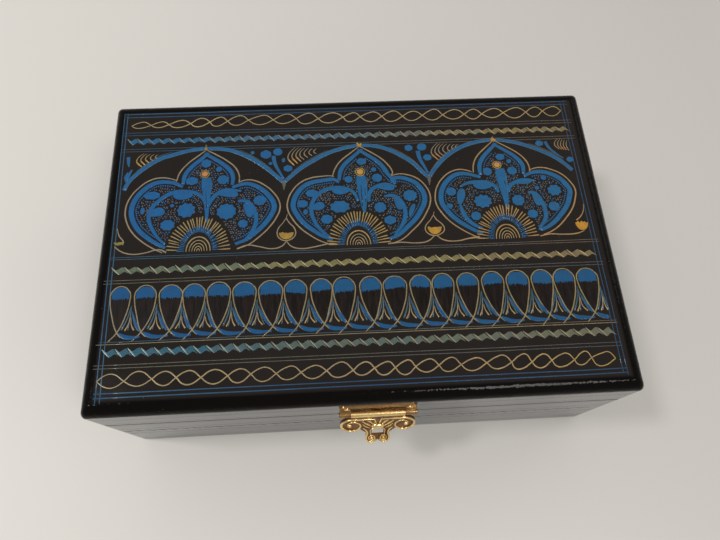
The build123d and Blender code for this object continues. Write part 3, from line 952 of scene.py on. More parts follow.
on_lid(punch("arch_knots", [
    (-69.9, 47.6, 0.75), (2.6, 46.9, 0.9), (3.6, 47.4, 0.6), (2.0, 47.9, 0.5), (3.4, 46.2, 0.6),
    (67.4, 47.9, 0.9), (68.4, 47.3, 0.7), (67.0, 47.0, 0.5)], proud=0.06), "drop_gold")
print("arch lines:", len(ARCH_LINES))

# %% [markdown]
# ## Fans, drops and sprigs between the arches
# A fan is a row of bent strokes that grow shorter along the arch, and a few of
# them glow gold at the foot. Each onion-shaped drop hangs where two flowers
# meet, half filled with yellow, and thin vines run from it to the foot of the
# flowers.

# %% Fans
def fan(lefts, top, foot, bulge):
    """Bent strokes, given by where each one bulges furthest to the left."""
    strokes = []
    for index, x in enumerate(lefts):
        part = index / (len(lefts) - 1)
        high = top[0] + (top[1] - top[0]) * part
        low = foot[0] + (foot[1] - foot[0]) * part
        lean = bulge * (1 - 0.62 * part)
        strokes.append((
            [(x + lean * 1.25, high), (x + lean * 0.3, high - (high - low) * 0.3),
             (x + lean * 0.06, high - (high - low) * 0.62), (x + lean * 1.05, low)],
            (0.18, 0.42, 0.6, 0.5)))
    return strokes


fans = (
    fan((-31.3, -29.4, -27.5, -25.7, -23.6, -21.3, -19.0), (47.0, 45.8), (36.9, 43.0), 2.9)
    + fan((37.0, 38.8, 40.6, 42.7, 45.0, 47.1, 49.0), (46.9, 45.6), (37.2, 43.4), 2.9)
    + fan((-102.0, -100.1, -98.0, -95.7, -93.4), (46.4, 45.4), (38.9, 43.2), 2.6)
    + fan((97.2, 98.7, 100.1, 101.5, 102.9), (47.0, 46.0), (41.0, 40.0), 1.8))
on_lid(scratch("arch_fans", fans, height=0.09), "fan_gold")
glowing = fans[:3] + fans[7:9] + fans[14:17] + fans[21:23]
on_lid(scratch("arch_fan_feet", [(points[2:], (0.45, 0.66, 0.5)) for points, _ in glowing],
               height=0.09, proud=0.02), "fan_foot")
print("fan strokes:", len(fans))

# %% Onion drops with their vines
def onion(x, tip, low, wide):
    """The outline of a drop, from its tip round and back."""
    return ([(x, tip), (x - wide * 0.18, tip - 2.4), (x - wide * 0.47, tip - 5.6),
             (x - wide * 0.48, low + 2.4), (x - wide * 0.26, low + 0.5), (x, low),
             (x + wide * 0.27, low + 0.6), (x + wide * 0.5, low + 2.6),
             (x + wide * 0.46, tip - 5.4), (x + wide * 0.16, tip - 2.4), (x, tip)],
            (0.35, 0.5, 0.62, 0.55, 0.6, 0.5))


on_lid(scratch("drop_outlines", [
    onion(-32.2, 9.4, -1.9, 8.0), onion(34.6, 8.0, -2.3, 8.6),
    ([(-32.2, 9.2), (-31.6, 11.4)], 0.3), ([(34.6, 7.8), (35.2, 9.8)], 0.3),
    ([(-107.4, 7.6), (-106.0, 3.4), (-103.9, 0.4), (-104.2, -1.0)], (0.3, 0.55, 0.6, 0.4)),
    ([(104.9, 11.0), (103.9, 7.0), (101.8, 4.0), (99.9, 2.6)], (0.25, 0.4, 0.55, 0.7))]),
    "beige_gold")


def half_filled(x, y, wide, high, ragged=0.35):
    """A filled bowl with an uneven upper edge."""
    bowl = [(x + wide / 2 * math.cos(math.pi + math.pi * i / 10),
             y + high * math.sin(math.pi + math.pi * i / 10)) for i in range(11)]
    brim = [(x + wide / 2 - wide * i / 8, y + shaky(ragged)) for i in range(1, 8)]
    return bowl + brim


on_lid(brush("drop_fills", [
    half_filled(-32.2, 2.0, 6.6, 3.3), half_filled(34.6, 2.0, 6.4, 3.7),
    half_filled(-106.0, 0.5, 4.0, 1.6), half_filled(102.0, 1.4, 5.8, 4.0, 0.9)]), "drop_gold")
on_lid(scratch("drop_vines", [
    ([(-107.6, -1.6), (-105.0, -3.8), (-100.0, -5.6), (-94.0, -5.2), (-88.0, -3.9), (-84.8, -5.4)],
     (0.5, 0.62, 0.55, 0.6, 0.8)),
    ([(-32.0, -1.9), (-34.0, -4.4), (-38.6, -5.6), (-44.0, -4.4), (-49.4, -3.4), (-54.0, -5.0)],
     (0.4, 0.62, 0.5, 0.6, 0.7)),
    ([(-32.4, -1.9), (-30.0, -4.8), (-26.0, -6.1), (-19.0, -5.4), (-12.4, -4.2), (-9.8, -4.6)],
     (0.4, 0.62, 0.6, 0.6, 0.8)),
    ([(34.4, -2.2), (31.0, -4.9), (25.0, -5.6), (19.4, -5.0), (13.0, -5.4)],
     (0.4, 0.62, 0.55, 0.6, 0.7)),
    ([(35.0, -2.2), (38.0, -4.6), (44.0, -5.4), (50.0, -4.3), (54.6, -3.9)],
     (0.4, 0.65, 0.55, 0.7, 1.1)),
    ([(102.6, -2.8), (99.0, -4.0), (92.0, -4.2), (86.6, -3.8), (82.0, -4.6)],
     (0.4, 0.62, 0.55, 0.6, 0.6))], proud=0.006), "beige_gold")

# %% Sprigs in the corners between arch and border
on_lid(scratch("sprig_stems", [
    ([(-38.0, 42.6), (-37.4, 38.6), (-35.6, 34.4), (-33.2, 29.8)], (2.2, 1.9, 1.5, 1.0)),
    ([(30.6, 42.8), (31.2, 38.4), (32.8, 34.4), (34.5, 30.2)], (2.4, 2.0, 1.5, 1.0)),
    ([(92.8, 45.6), (94.2, 42.0), (96.8, 38.8), (100.2, 35.8)], (1.8, 1.5, 1.2, 0.6)),
    ([(-105.9, 44.6), (-105.5, 41.0), (-105.1, 39.0)], (1.9, 1.5, 0.3)),
    ([(-105.4, 36.2), (-106.0, 33.4), (-105.7, 31.0)], (0.6, 1.9, 0.8)),
    ([(-103.6, 37.6), (-104.7, 34.8), (-105.4, 31.6)], (0.9, 1.6, 0.6))],
    height=0.03), "arch_blue")
# %% [markdown]
# ## The three flowers
# Each arch holds a three-lobed flower. A fine gold line draws its outline and a
# broad blue band follows inside. From a stem in the middle two branches curl
# out, with leaves and round blooms, over a ground filled with tiny rings. At
# the foot rises a half sun with nested arches and a ring of rays.
#
# The three are drawn freehand, so each has its own outline, given by a few
# points, and its own list of leaves and blooms. Only the tools are shared.

# %% Outlines of the three flowers
# The lines of each are its upper and lower left lobe and then those at the right.
FLOWERS = [
    {   # the left one
        "lines": [
            [(-69.8, 47.0), (-73.1, 44.2), (-78.3, 39.5), (-81.5, 34.8), (-82.7, 30.4)],
            [(-82.4, 30.9), (-85.7, 32.1), (-89.9, 32.7), (-94.6, 31.6), (-99.4, 27.9),
             (-103.1, 22.7), (-104.6, 16.4), (-103.6, 10.6), (-100.4, 4.8), (-96.2, 0.6),
             (-91.0, -3.1), (-86.6, -5.5)],
            [(-69.4, 47.0), (-64.7, 44.2), (-59.4, 40.5), (-55.8, 36.9), (-53.9, 32.6),
             (-53.8, 28.6)],
            [(-54.0, 29.0), (-50.5, 30.0), (-46.8, 29.5), (-42.1, 26.9), (-37.9, 22.7),
             (-35.3, 17.9), (-35.0, 14.2), (-36.8, 9.5), (-40.0, 4.8), (-44.7, 0.1),
             (-48.9, -3.1), (-54.0, -5.0)]],
        "centre": (-69.9, 14.0), "sun": (-71.0, -5.4)},
    {   # the middle one
        "lines": [
            [(2.8, 46.3), (-2.1, 42.3), (-6.7, 38.2), (-9.3, 34.1), (-10.6, 30.1)],
            [(-9.8, 30.2), (-11.6, 30.6), (-15.4, 30.5), (-21.1, 29.7), (-25.7, 27.4),
             (-29.3, 23.3), (-31.3, 18.7), (-31.6, 14.1), (-29.5, 9.0), (-26.2, 4.4),
             (-21.6, 0.3), (-17.0, -2.8), (-12.6, -4.6)],
            [(3.1, 46.3), (8.2, 42.8), (12.8, 39.2), (15.8, 35.6), (17.4, 32.6), (17.6, 30.6),
             (16.4, 29.4)],
            [(16.6, 29.2), (19.9, 30.3), (24.6, 29.7), (29.2, 27.4), (32.3, 23.8), (34.1, 19.2),
             (33.8, 14.1), (31.7, 9.5), (28.7, 4.9), (24.1, 0.3), (19.9, -3.3), (14.8, -5.5)]],
        "centre": (1.4, 14.0), "sun": (0.0, -5.4)},
    {   # the right one
        "lines": [
            [(67.5, 47.0), (62.6, 42.6), (58.6, 38.4), (56.5, 34.2), (55.8, 29.6)],
            [(55.2, 30.0), (53.1, 30.9), (49.4, 31.6), (45.2, 30.5), (41.6, 27.9), (38.1, 23.2),
             (36.6, 18.5), (36.6, 13.7), (38.7, 9.0), (42.1, 4.3), (46.3, 0.6), (51.0, -2.6),
             (55.0, -4.6)],
            [(68.2, 47.0), (74.7, 42.6), (78.9, 39.2), (81.8, 35.3), (82.8, 32.1), (82.7, 28.8)],
            [(82.4, 29.8), (84.6, 30.7), (88.4, 31.1), (93.1, 29.8), (97.8, 26.9), (101.0, 22.7),
             (102.5, 18.5), (101.5, 13.7), (99.4, 9.0), (95.7, 4.3), (91.5, 0.1), (87.3, -2.6),
             (83.6, -4.0)]],
        "centre": (69.4, 14.0), "sun": (67.2, -5.2)}]

on_lid(scratch("flower_outlines", [
    (line, (0.45, 0.72, 0.66, 0.74, 0.66, 0.5)) for flower in FLOWERS for line in flower["lines"]],
    height=0.1), "beige_gold")

# %% [markdown]
# A blue band runs inside the outline. Moving a line sideways is the same sum at
# every point: a step at right angles to the line's run. The step grows from the
# cusp to the side of the lobe, as it does by hand.

# %% Blue bands inside the outlines
def shifted(line, centre, steps):
    """The line moved towards the centre by a step that changes along it."""
    moved = []
    for index, (x, y) in enumerate(line):
        before, after = line[max(index - 1, 0)], line[min(index + 1, len(line) - 1)]
        run = Vector((after[0] - before[0], after[1] - before[1])).normalized()
        side = Vector((-run.y, run.x))
        if side.dot(Vector((centre[0] - x, centre[1] - y))) < 0:
            side = -side
        step = widths_along(steps, len(line))[index]
        moved.append((x + side.x * step, y + side.y * step))
    return moved


band_lines = []
for flower in FLOWERS:
    flower["bands"] = bands = []
    for index, line in enumerate(flower["lines"]):
        if index in (0, 2):   # an upper line
            band = shifted(line, flower["centre"], (2.0, 2.4, 2.7, 2.9, 3.2))
            band[-1] = (band[-1][0], band[-1][1] - 1.0)
            widths = (1.5, 2.2, 2.4, 1.6)
        else:   # the lower line, which takes over where the upper one stops
            joint_x, joint_y = bands[-1][-1]
            band = [(joint_x, joint_y - 1.2)] + shifted(
                line, flower["centre"], (1.6, 2.3, 2.6, 2.7, 2.8, 2.8, 2.6))
            widths = (1.5, 2.0, 2.3, 2.6, 2.6, 2.5, 2.2, 1.4)
        bands.append(band)
        band_lines.append((band, widths))
bordered("flower_bands", band_lines, "flower_blue", 0.35, 0.03)
print("blue bands:", len(band_lines))

# %% [markdown]
# **Blooms and leaves.** A bloom is a disc whose rim is notched into small
# petals. A leaf is a bowed drop. Both are brushed outlines: a helper walks
# round the shape and moves the rim in and out.

# %% The outline of a bloom and of a leaf
def bloom(x, y, wide, high, petals, depth):
    """A round or oval bloom with a notched rim."""
    count = max(16, petals * 4)
    rim = []
    for index in range(count):
        angle = 2 * math.pi * index / count
        notch = 1 - depth * (0.5 + 0.5 * math.cos(petals * angle)) + shaky(0.03)
        rim.append((x + wide * notch * math.cos(angle), y + high * notch * math.sin(angle)))
    return rim


def leaf(x, y, long, wide, degrees, bow):
    """A pointed leaf, turned by so many degrees and bowed to one side."""
    turn = math.radians(degrees)
    rim = []
    for index in range(20):
        angle = 2 * math.pi * index / 20
        a = math.cos(angle) * long
        b = math.sin(angle) * wide * (0.62 + 0.38 * math.cos(angle * 0.5) ** 2)
        b += bow * wide * (1 - (a / long) ** 2) * 2
        rim.append((x + a * math.cos(turn) - b * math.sin(turn),
                    y + a * math.sin(turn) + b * math.cos(turn)))
    return rim


# %% Blooms
# x, y, half width, half height, petals and the depth of the notches.
BLOOMS = [
    (-77.3, 15.2, 4.3, 3.9, 9, 0.16), (-59.2, 13.8, 4.6, 4.2, 10, 0.14),
    (-93.3, 23.4, 3.9, 2.2, 7, 0.12), (-85.2, 8.0, 3.4, 2.8, 8, 0.12),
    (-44.2, 18.9, 3.1, 2.7, 9, 0.14), (-51.6, 7.3, 2.3, 2.2, 7, 0.14),
    (-69.4, 39.6, 2.4, 2.3, 6, 0.08), (-63.4, 36.2, 1.5, 1.4, 5, 0.1),
    (-61.3, 30.5, 2.7, 2.5, 7, 0.1), (-75.5, 30.4, 3.0, 2.2, 6, 0.1),
    (-96.9, 15.6, 1.0, 1.8, 0, 0.0), (-83.8, 17.8, 1.1, 1.0, 5, 0.3),
    (-7.7, 14.1, 4.9, 3.3, 8, 0.18), (-20.3, 21.6, 3.0, 2.1, 7, 0.12),
    (-24.7, 16.3, 2.6, 2.1, 7, 0.12), (-13.9, 7.9, 2.8, 2.4, 7, 0.1),
    (10.7, 13.0, 2.9, 2.8, 9, 0.14), (24.9, 18.6, 3.4, 3.1, 9, 0.14),
    (14.8, 6.3, 2.9, 2.3, 6, 0.14), (3.4, 37.8, 2.5, 2.0, 5, 0.12),
    (-3.1, 28.3, 2.0, 1.9, 6, 0.08), (10.2, 28.6, 2.5, 2.3, 7, 0.1),
    (8.9, 33.2, 1.3, 1.3, 5, 0.12), (-23.4, 12.0, 1.1, 1.4, 0, 0.0),
    (58.4, 14.2, 4.4, 3.6, 9, 0.2), (44.2, 19.8, 2.4, 2.3, 7, 0.08),
    (54.2, 6.7, 2.4, 2.3, 7, 0.1), (42.8, 12.4, 1.5, 1.3, 5, 0.1),
    (74.9, 14.0, 3.0, 2.9, 8, 0.1), (80.5, 6.7, 2.5, 2.3, 7, 0.12),
    (92.6, 18.6, 3.5, 3.1, 8, 0.2), (91.0, 10.2, 2.7, 2.5, 7, 0.1),
    (88.6, 25.5, 1.4, 1.4, 5, 0.14), (84.6, 20.2, 1.1, 1.0, 0, 0.0),
    (69.7, 37.7, 2.3, 1.9, 5, 0.1), (62.6, 29.9, 2.3, 2.2, 6, 0.1),
    (74.4, 29.9, 2.4, 2.3, 7, 0.1), (73.6, 35.2, 1.2, 1.2, 5, 0.1),
    (-41.6, 43.5, 2.7, 2.4, 6, 0.1), (-47.9, 44.7, 0.9, 0.9, 0, 0.0),
    (-31.2, 35.4, 2.2, 1.8, 6, 0.1), (-39.4, 38.4, 0.9, 0.8, 0, 0.0),
    (-33.3, 40.0, 0.8, 1.2, 0, 0.0), (26.4, 44.5, 2.0, 1.8, 6, 0.08),
    (34.9, 38.8, 2.1, 1.8, 5, 0.1), (89.9, 44.6, 2.0, 1.7, 5, 0.12),
    (103.2, 35.0, 1.8, 1.5, 5, 0.1), (-36.0, 44.7, 2.7, 2.0, 2, 0.2),
    (32.7, 44.8, 2.8, 2.0, 2, 0.2)]
on_lid(brush("blooms", [bloom(*row) for row in BLOOMS], proud=0.012), "flower_blue")

# %% Leaves
# x, y, half length, half width, turn in degrees and bow.
LEAVES = [
    (-79.2, 23.0, 4.6, 2.3, 178, 0.1), (-90.3, 14.2, 3.6, 2.7, 15, 0.1),
    (-58.6, 22.6, 4.6, 2.2, -4, 0.1), (-49.7, 14.0, 3.9, 2.4, -66, 0.12),
    (-7.2, 22.4, 3.9, 2.0, 172, 0.1), (-17.6, 14.6, 3.0, 2.5, 20, 0.0),
    (13.6, 23.4, 4.4, 2.4, -8, 0.12), (19.0, 14.8, 3.6, 2.5, -70, 0.12),
    (25.2, 10.8, 3.6, 1.3, 68, 0.1), (59.3, 22.6, 4.4, 2.2, 174, 0.1),
    (48.4, 17.0, 4.4, 2.3, 76, 0.0), (83.3, 14.6, 4.0, 2.5, -74, 0.12),
    (78.2, 23.6, 4.4, 1.9, 2, 0.1)]
on_lid(brush("leaves", [leaf(*row) for row in LEAVES], proud=0.03), "flower_blue")
print("blooms and leaves:", len(BLOOMS), len(LEAVES))

# %% [markdown]
# **Branches.** The branches leave the stem at its head and curl out and down,
# so a flower has a few long lines and not many short ones. They are drawn like
# the arches, blue over a paler border. The stem is one broad line, with one or
# two dark veins.

# %% Branches and stems
BRANCHES = [
    [(-68.6, 17.0), (-69.9, 20.6), (-73.1, 23.7), (-77.3, 24.8), (-82.6, 24.8), (-86.8, 23.2),
     (-89.9, 20.6), (-92.6, 17.4), (-93.9, 13.2), (-93.1, 9.0), (-91.0, 4.8), (-88.3, 1.1),
     (-85.7, -1.5)],
    [(-67.6, 16.4), (-66.2, 20.0), (-63.6, 23.2), (-60.4, 24.8), (-57.3, 24.9), (-52.6, 24.2)],
    [(-54.2, 19.0), (-50.5, 18.8), (-47.3, 15.4), (-45.8, 10.6), (-46.3, 5.8), (-48.9, 1.1),
     (-52.6, -2.2)],
    [(0.8, 16.6), (-1.1, 21.3), (-4.2, 23.3), (-9.3, 24.1), (-13.9, 23.3), (-17.5, 20.8),
     (-20.1, 17.2), (-20.8, 12.1), (-19.5, 7.4), (-17.5, 3.8), (-14.9, 0.8), (-12.6, -1.0)],
    [(5.6, 16.0), (6.6, 21.3), (10.2, 24.2), (15.3, 24.6), (19.0, 23.6)],
    [(12.8, 18.7), (17.4, 18.7), (21.0, 14.6), (22.0, 10.0), (21.0, 5.4), (18.4, 1.3), (16.2, -1.4)],
    [(66.3, 18.5), (65.2, 21.6), (61.5, 23.9), (56.3, 24.4), (52.1, 24.0), (48.6, 22.2)],
    [(47.6, 13.0), (48.4, 9.0), (50.4, 4.8), (53.4, 1.9), (56.4, 0.6)],
    [(71.0, 18.5), (72.1, 21.6), (75.7, 23.9), (80.5, 24.6), (84.7, 24.0)],
    [(79.9, 18.0), (82.6, 17.6), (85.4, 13.4), (86.5, 8.5), (85.7, 3.7), (83.4, 0.6),
     (82.0, -1.6)]]
bordered("branches", [(line, (1.2, 2.0, 2.3, 2.1, 2.1, 1.6, 0.7)) for line in BRANCHES],
         "flower_blue", 0.3, 0.03, 0.006)
on_lid(scratch("stems", [
    ([(-68.9, 32.0), (-68.6, 27.0), (-68.3, 20.0), (-68.0, 13.0), (-68.0, 8.6)],
     (5.0, 5.4, 3.2, 1.8, 1.2)),
    ([(2.6, 30.4), (2.9, 27.0), (3.2, 20.0), (3.3, 14.0), (3.4, 10.6)], (4.4, 5.6, 4.6, 2.6, 1.2)),
    ([(68.6, 31.4), (68.8, 27.0), (69.2, 20.0), (69.2, 14.0), (69.2, 9.6)],
     (4.8, 5.8, 4.4, 2.4, 1.3))], height=0.025, proud=0.01), "flower_blue")
on_lid(scratch("stem_veins", [
    ([(-68.9, 24.0), (-68.2, 16.0)], (0.2, 0.3)), ([(2.5, 25.0), (2.6, 14.0)], (0.3, 0.4)),
    ([(4.4, 27.0), (4.2, 16.0)], (0.2, 0.3)), ([(69.8, 24.6), (70.6, 20.6)], (0.5, 0.2))],
    height=0.12, proud=0.05), "black_lacquer")

# %% [markdown]
# **Eyes.** Each flower has one glowing eye over its stem: an apricot dot in a
# golden ring.

# %% The three eyes
# Each is x, y and the radius of its dot.
EYES = ((-69.8, 33.9, 1.5), (2.5, 32.1, 1.6), (67.6, 33.4, 1.45))
rings = [([(x + (r + 0.5) * math.cos(a * math.pi / 4), y + (r + 0.45) * math.sin(a * math.pi / 4))
           for a in range(8)], 0.45, True) for x, y, r in EYES]
on_lid(scratch("eye_rings", rings, height=0.1, proud=0.05), "drop_gold")
on_lid(punch("eyes", EYES, proud=0.07), "apricot")

# %% [markdown]
# **The half suns.** Nested arches, a ring of hair lines and a ring of rays that
# widen outwards, all set out from one centre at the foot of each flower.

# %% Suns
def on_oval(x, y, wide, high, angle):
    """A point of an oval, at an angle in degrees."""
    turn = math.radians(angle)
    return (x + wide * math.cos(turn), y + high * math.sin(turn))


RAYS, HAIRS = 29, 44
sun_arches, sun_cores, sun_rays, sun_hairs = [], [], [], []
for flower in FLOWERS:
    x, y = flower["sun"]
    for wide, high in ((5.3, 7.0), (3.9, 5.3), (2.7, 3.8), (1.6, 2.4), (0.6, 1.2)):
        arch = [on_oval(x, y, wide, high, 180 - a) for a in range(0, 181, 20)]
        if wide > 5:
            sun_arches.append((arch, (0.4, 0.68, 0.56, 0.7, 0.4)))
        else:
            sun_cores.append((arch, (0.24, 0.42, 0.34, 0.44, 0.26)))
    for index in range(RAYS):
        angle = 3 + index * 6.21 + shaky(1.0)
        inner = on_oval(x, y, 8.6 + shaky(0.4), 11.6 + shaky(0.5), angle)
        outer = on_oval(x, y, 14.0 + shaky(0.5), 17.0 + shaky(0.5), angle)
        middle = ((inner[0] + outer[0]) / 2, (inner[1] + outer[1]) / 2)
        sun_rays.append(([inner, middle, outer],
                         (0.25, 0.42 + shaky(0.06), 0.6 + shaky(0.1), 0.62)))
    for index in range(HAIRS):
        angle = 2 + index * 4.1 + shaky(0.8)
        sun_hairs.append(([on_oval(x, y, 6.1, 9.3, angle),
                           on_oval(x, y, 8.8 + shaky(0.7), 12.6 + shaky(0.9), angle)],
                          (0.3, 0.5)))
on_lid(scratch("sun_arches", sun_arches, height=0.1), "sun_gold")
on_lid(scratch("sun_cores", sun_cores, height=0.09), "chain_gold")
on_lid(scratch("sun_rays", sun_rays, height=0.08, proud=0.03, steps=2), "sun_gold")
on_lid(scratch("sun_hairs", sun_hairs, height=0.08, proud=0.02), "arch_blue")

# %% [markdown]
# **The ground.** Tiny rings fill every gap between the leaves. A grid of points
# is shaken, and a point is kept only where it lies inside the blue band and
# clear of every leaf, bloom, branch and ray. The kept points are then punched.

# %% Where the ground is free
def inside(point, outline):
    """Whether a point lies in an outline: a line from it crosses the rim an odd number of times."""
    x, y = point
    odd = False
    for (x1, y1), (x2, y2) in zip(outline, outline[1:] + outline[:1]):
        if (y1 > y) != (y2 > y) and x < (x2 - x1) * (y - y1) / (y2 - y1) + x1:
            odd = not odd
    return odd


def gap_to_line(point, line):
    """How far a point is from a line of straight runs."""
    best = 1e9
    here = Vector(point)
    for first, second in zip(line, line[1:]):
        a, b = Vector(first), Vector(second)
        run = b - a
        part = max(0.0, min(1.0, (here - a).dot(run) / max(run.length_squared, 1e-9)))
        best = min(best, (here - a - run * part).length)
    return best


def in_oval(point, x, y, wide, high):
    """Whether a point lies in an oval."""
    return ((point[0] - x) / wide) ** 2 + ((point[1] - y) / high) ** 2 < 1


STEM_LINES = [[(-68.8, 31.0), (-68.0, 9.0)], [(2.8, 30.0), (3.4, 11.0)],
              [(68.8, 31.0), (69.2, 10.0)]]
SUN_REACH = (14.8, 19.0)
# How far the rings keep from the middle of a band, the rim of a bloom, the
# middle of a branch and the rim of a leaf.
FROM_BAND, FROM_BLOOM, FROM_BRANCH, FROM_LEAF = 2.75, 0.62, 1.15, 0.7


def is_free(spot, flower, field):
    """Whether a spot in the field is clear of the sun, bands, leaves and stems."""
    from_stem = 2.6 * (0.45 + 0.5 * max(0, spot[1] - 9) / 20)   # a stem is wider above
    return inside(spot, field) and not (
        in_oval(spot, *flower["sun"], *SUN_REACH)
        or any(gap_to_line(spot, band) < FROM_BAND for band in flower["bands"])
        or any(in_oval(spot, x, y, wide + FROM_BLOOM, high + FROM_BLOOM)
               for x, y, wide, high, *_ in BLOOMS)
        or any(gap_to_line(spot, line) < FROM_BRANCH for line in BRANCHES)
        or any(gap_to_line(spot, line) < from_stem for line in STEM_LINES)
        or any(inside(spot, leaf(x, y, long + FROM_LEAF, wide + FROM_LEAF, turn, bow))
               for x, y, long, wide, turn, bow in LEAVES))


# %% Scatter the rings over the free ground
RING_GAP, ROW_GAP = 1.16, 0.98
dots = []
for flower in FLOWERS:
    left_up, left_low, right_up, right_low = flower["bands"]
    field = left_low[::-1] + left_up[::-1] + right_up + right_low
    xs, ys = [x for x, _ in field], [y for _, y in field]
    y, row = min(ys), 0
    while y < max(ys):
        x = min(xs) + (row % 2) * 0.6
        while x < max(xs):
            spot = (x + shaky(0.3), y + shaky(0.26))
            if is_free(spot, flower, field):
                dots.append((*spot, 0.27 + abs(shaky(0.1))))
            x += RING_GAP
        y += ROW_GAP
        row += 1

# %% [markdown]
# **The beads.** A row of beads follows the inner edge of every band, a fixed
# distance in from its centre line and one even gap apart.

# %% Beads along the inside of the bands
def strung(line, away, centre, gap):
    """Points an even gap apart beside a line, on the side of the centre."""
    inner = shifted(line, centre, (away, away))
    spots, left_over = [], 0.0
    for first, second in zip(inner, inner[1:]):
        a, b = Vector(first), Vector(second)
        length = (b - a).length
        at = left_over
        while at < length:
            spots.append(a + (b - a) * at / length)
            at += gap
        left_over = at - length
    return spots


BEADS_IN, BEAD_GAP, BEAD_RADIUS = 2.0, 1.05, 0.38
beads = [(*spot, BEAD_RADIUS) for flower in FLOWERS for band in flower["bands"]
         for spot in strung(band[1:], BEADS_IN, flower["centre"], BEAD_GAP)
         if not in_oval(spot, *flower["sun"], 15.0, 19.0)]
print("beads:", len(beads))
on_lid(punch("band_beads", beads, proud=0.035), "arch_blue")

# %% Punch the rings
hand.shuffle(dots)
third = len(dots) // 3
print("rings on the ground:", len(dots))
on_lid(punch("ground_rings_pale", dots[:third]), "speck_pale")
on_lid(punch("ground_rings_blue", dots[third:2 * third]), "speck_blue")
on_lid(punch("ground_rings_brown", dots[2 * third:]), "speck_brown")

# %% [markdown]
# ## The four sides
# The sides are plainer than the lid. Pairs of dim blue lines part the bands, and
# a small rope runs round the middle of the case. The lines on the lid's sides
# move with the lid and the others stay with the case.

# %% Lines and a rope round the sides
LID_LINES = (69.0, 67.9, 58.8, 57.8)
CASE_LINES = (52.2, 41.2, 40.1, 26.8, 25.7, 8.6, 7.5)
ROPE_HEIGHT = 33.5
CORNER = 3.0   # the lines stop this far from the corners
for side, sheet in SIDE_SHEETS.items():
    reach = (HALF_WIDTH if side in ("front", "back") else HALF_DEPTH) - CORNER
    for label, heights, body in (("_lid_lines", LID_LINES, "lid"),
                                 ("_case_lines", CASE_LINES, "base")):
        lines = [by_hand(-reach, reach, height, 0.06, 0.34) for height in heights]
        dress(scratch(side + label, lines, sheet, steps=2), "side_blue", body)
    twists, strokes = twisted(ROPE_HEIGHT, 1.7, 5.2, -reach, reach)
    dress(strands_laid(side + "_rope_twists", twists, sheet), "side_teal", "base")
    dress(scratch(side + "_rope_strokes", strokes, sheet, proud=0.05), "side_blue", "base")
    print(side, "side dressed")

# %% [markdown]
# ## Relief on the latch
# The hasp of a cheap brass latch is stamped: scrolls curl over its wings, flutes
# spread from an oval boss to the barrel, and each lobe carries a ring with a
# bead. The plain sheet is there already, so the relief is swept over it with
# round wires that swell and thin. A ray cast at the sheet from the front gives
# the spot under each point, so the wires follow its bend.

# %% Finding the face of the hasp
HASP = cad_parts["hasp"]
PIN_LOW, PIN_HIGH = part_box("latch_pin")
LATCH_X = (PIN_LOW.x + PIN_HIGH.x) / 2 / MM
AXIS_Z = (PIN_LOW.z + PIN_HIGH.z) / 2 / MM
AXIS_Y = (PIN_LOW.y + PIN_HIGH.y) / 2 / MM
SOLID_AT = 4.0   # the sheet is unbroken from top to bottom this far from its middle
IN_FRONT = 40    # the rays start this far in front of the pin


def on_hasp(x, drop, lift=0.0):
    """A point over the hasp: across from its middle, down from its pin, and out."""
    start = Vector(((LATCH_X + SOLID_AT) * MM, (AXIS_Y - IN_FRONT) * MM, (AXIS_Z - drop) * MM))
    found, spot, facing, _ = HASP.ray_cast(start, Vector((0, 1, 0)))
    if not found:
        raise ValueError("no sheet at this height")
    spot = spot + facing * lift * MM
    return Vector(((LATCH_X + x) * MM, spot.y, spot.z))


print("the pin of the latch lies at", LATCH_X, AXIS_Y, AXIS_Z)


# %% Wires, beads and the boss
def wires(name, runs, lift=0.1, thick=0.42):
    """Round tapering wires, each (points, widths), drawn on both halves of the hasp."""
    drawing = drawing_board()
    drawing.bevel_depth = thick * MM
    drawing.bevel_resolution = 3
    drawing.use_fill_caps = True
    for points, widths in runs:
        for side in (1, -1):
            smooth_line(drawing, [on_hasp(x * side, drop, lift) for x, drop in points],
                        widths_along(widths, len(points)), 6)
    wire = as_mesh(name)
    smooth(wire, 50)
    return wire


def bead(x, drop, wide, tall, high):
    """A dome: a ball cut below its middle, pressed to shape and set on the sheet."""
    foot, tip = on_hasp(x, drop), on_hasp(x, drop, 1.0)
    pick()
    bpy.ops.mesh.primitive_uv_sphere_add(segments=24, ring_count=12, radius=1.0,
                                         location=(0, 0, 0))
    dome = bpy.context.object
    bpy.ops.object.mode_set(mode="EDIT")
    bpy.ops.mesh.select_all(action="SELECT")
    bpy.ops.mesh.bisect(plane_co=(0, 0, -0.25), plane_no=(0, 0, 1), use_fill=True,
                        clear_inner=True)
    bpy.ops.object.mode_set(mode="OBJECT")
    dome.scale = (wide * MM, tall * MM, high * MM)
    dome.rotation_mode = "QUATERNION"
    dome.rotation_quaternion = (tip - foot).to_track_quat("Z", "Y")
    dome.location = foot
    settle(dome)
    smooth(dome, 50)
    return dome


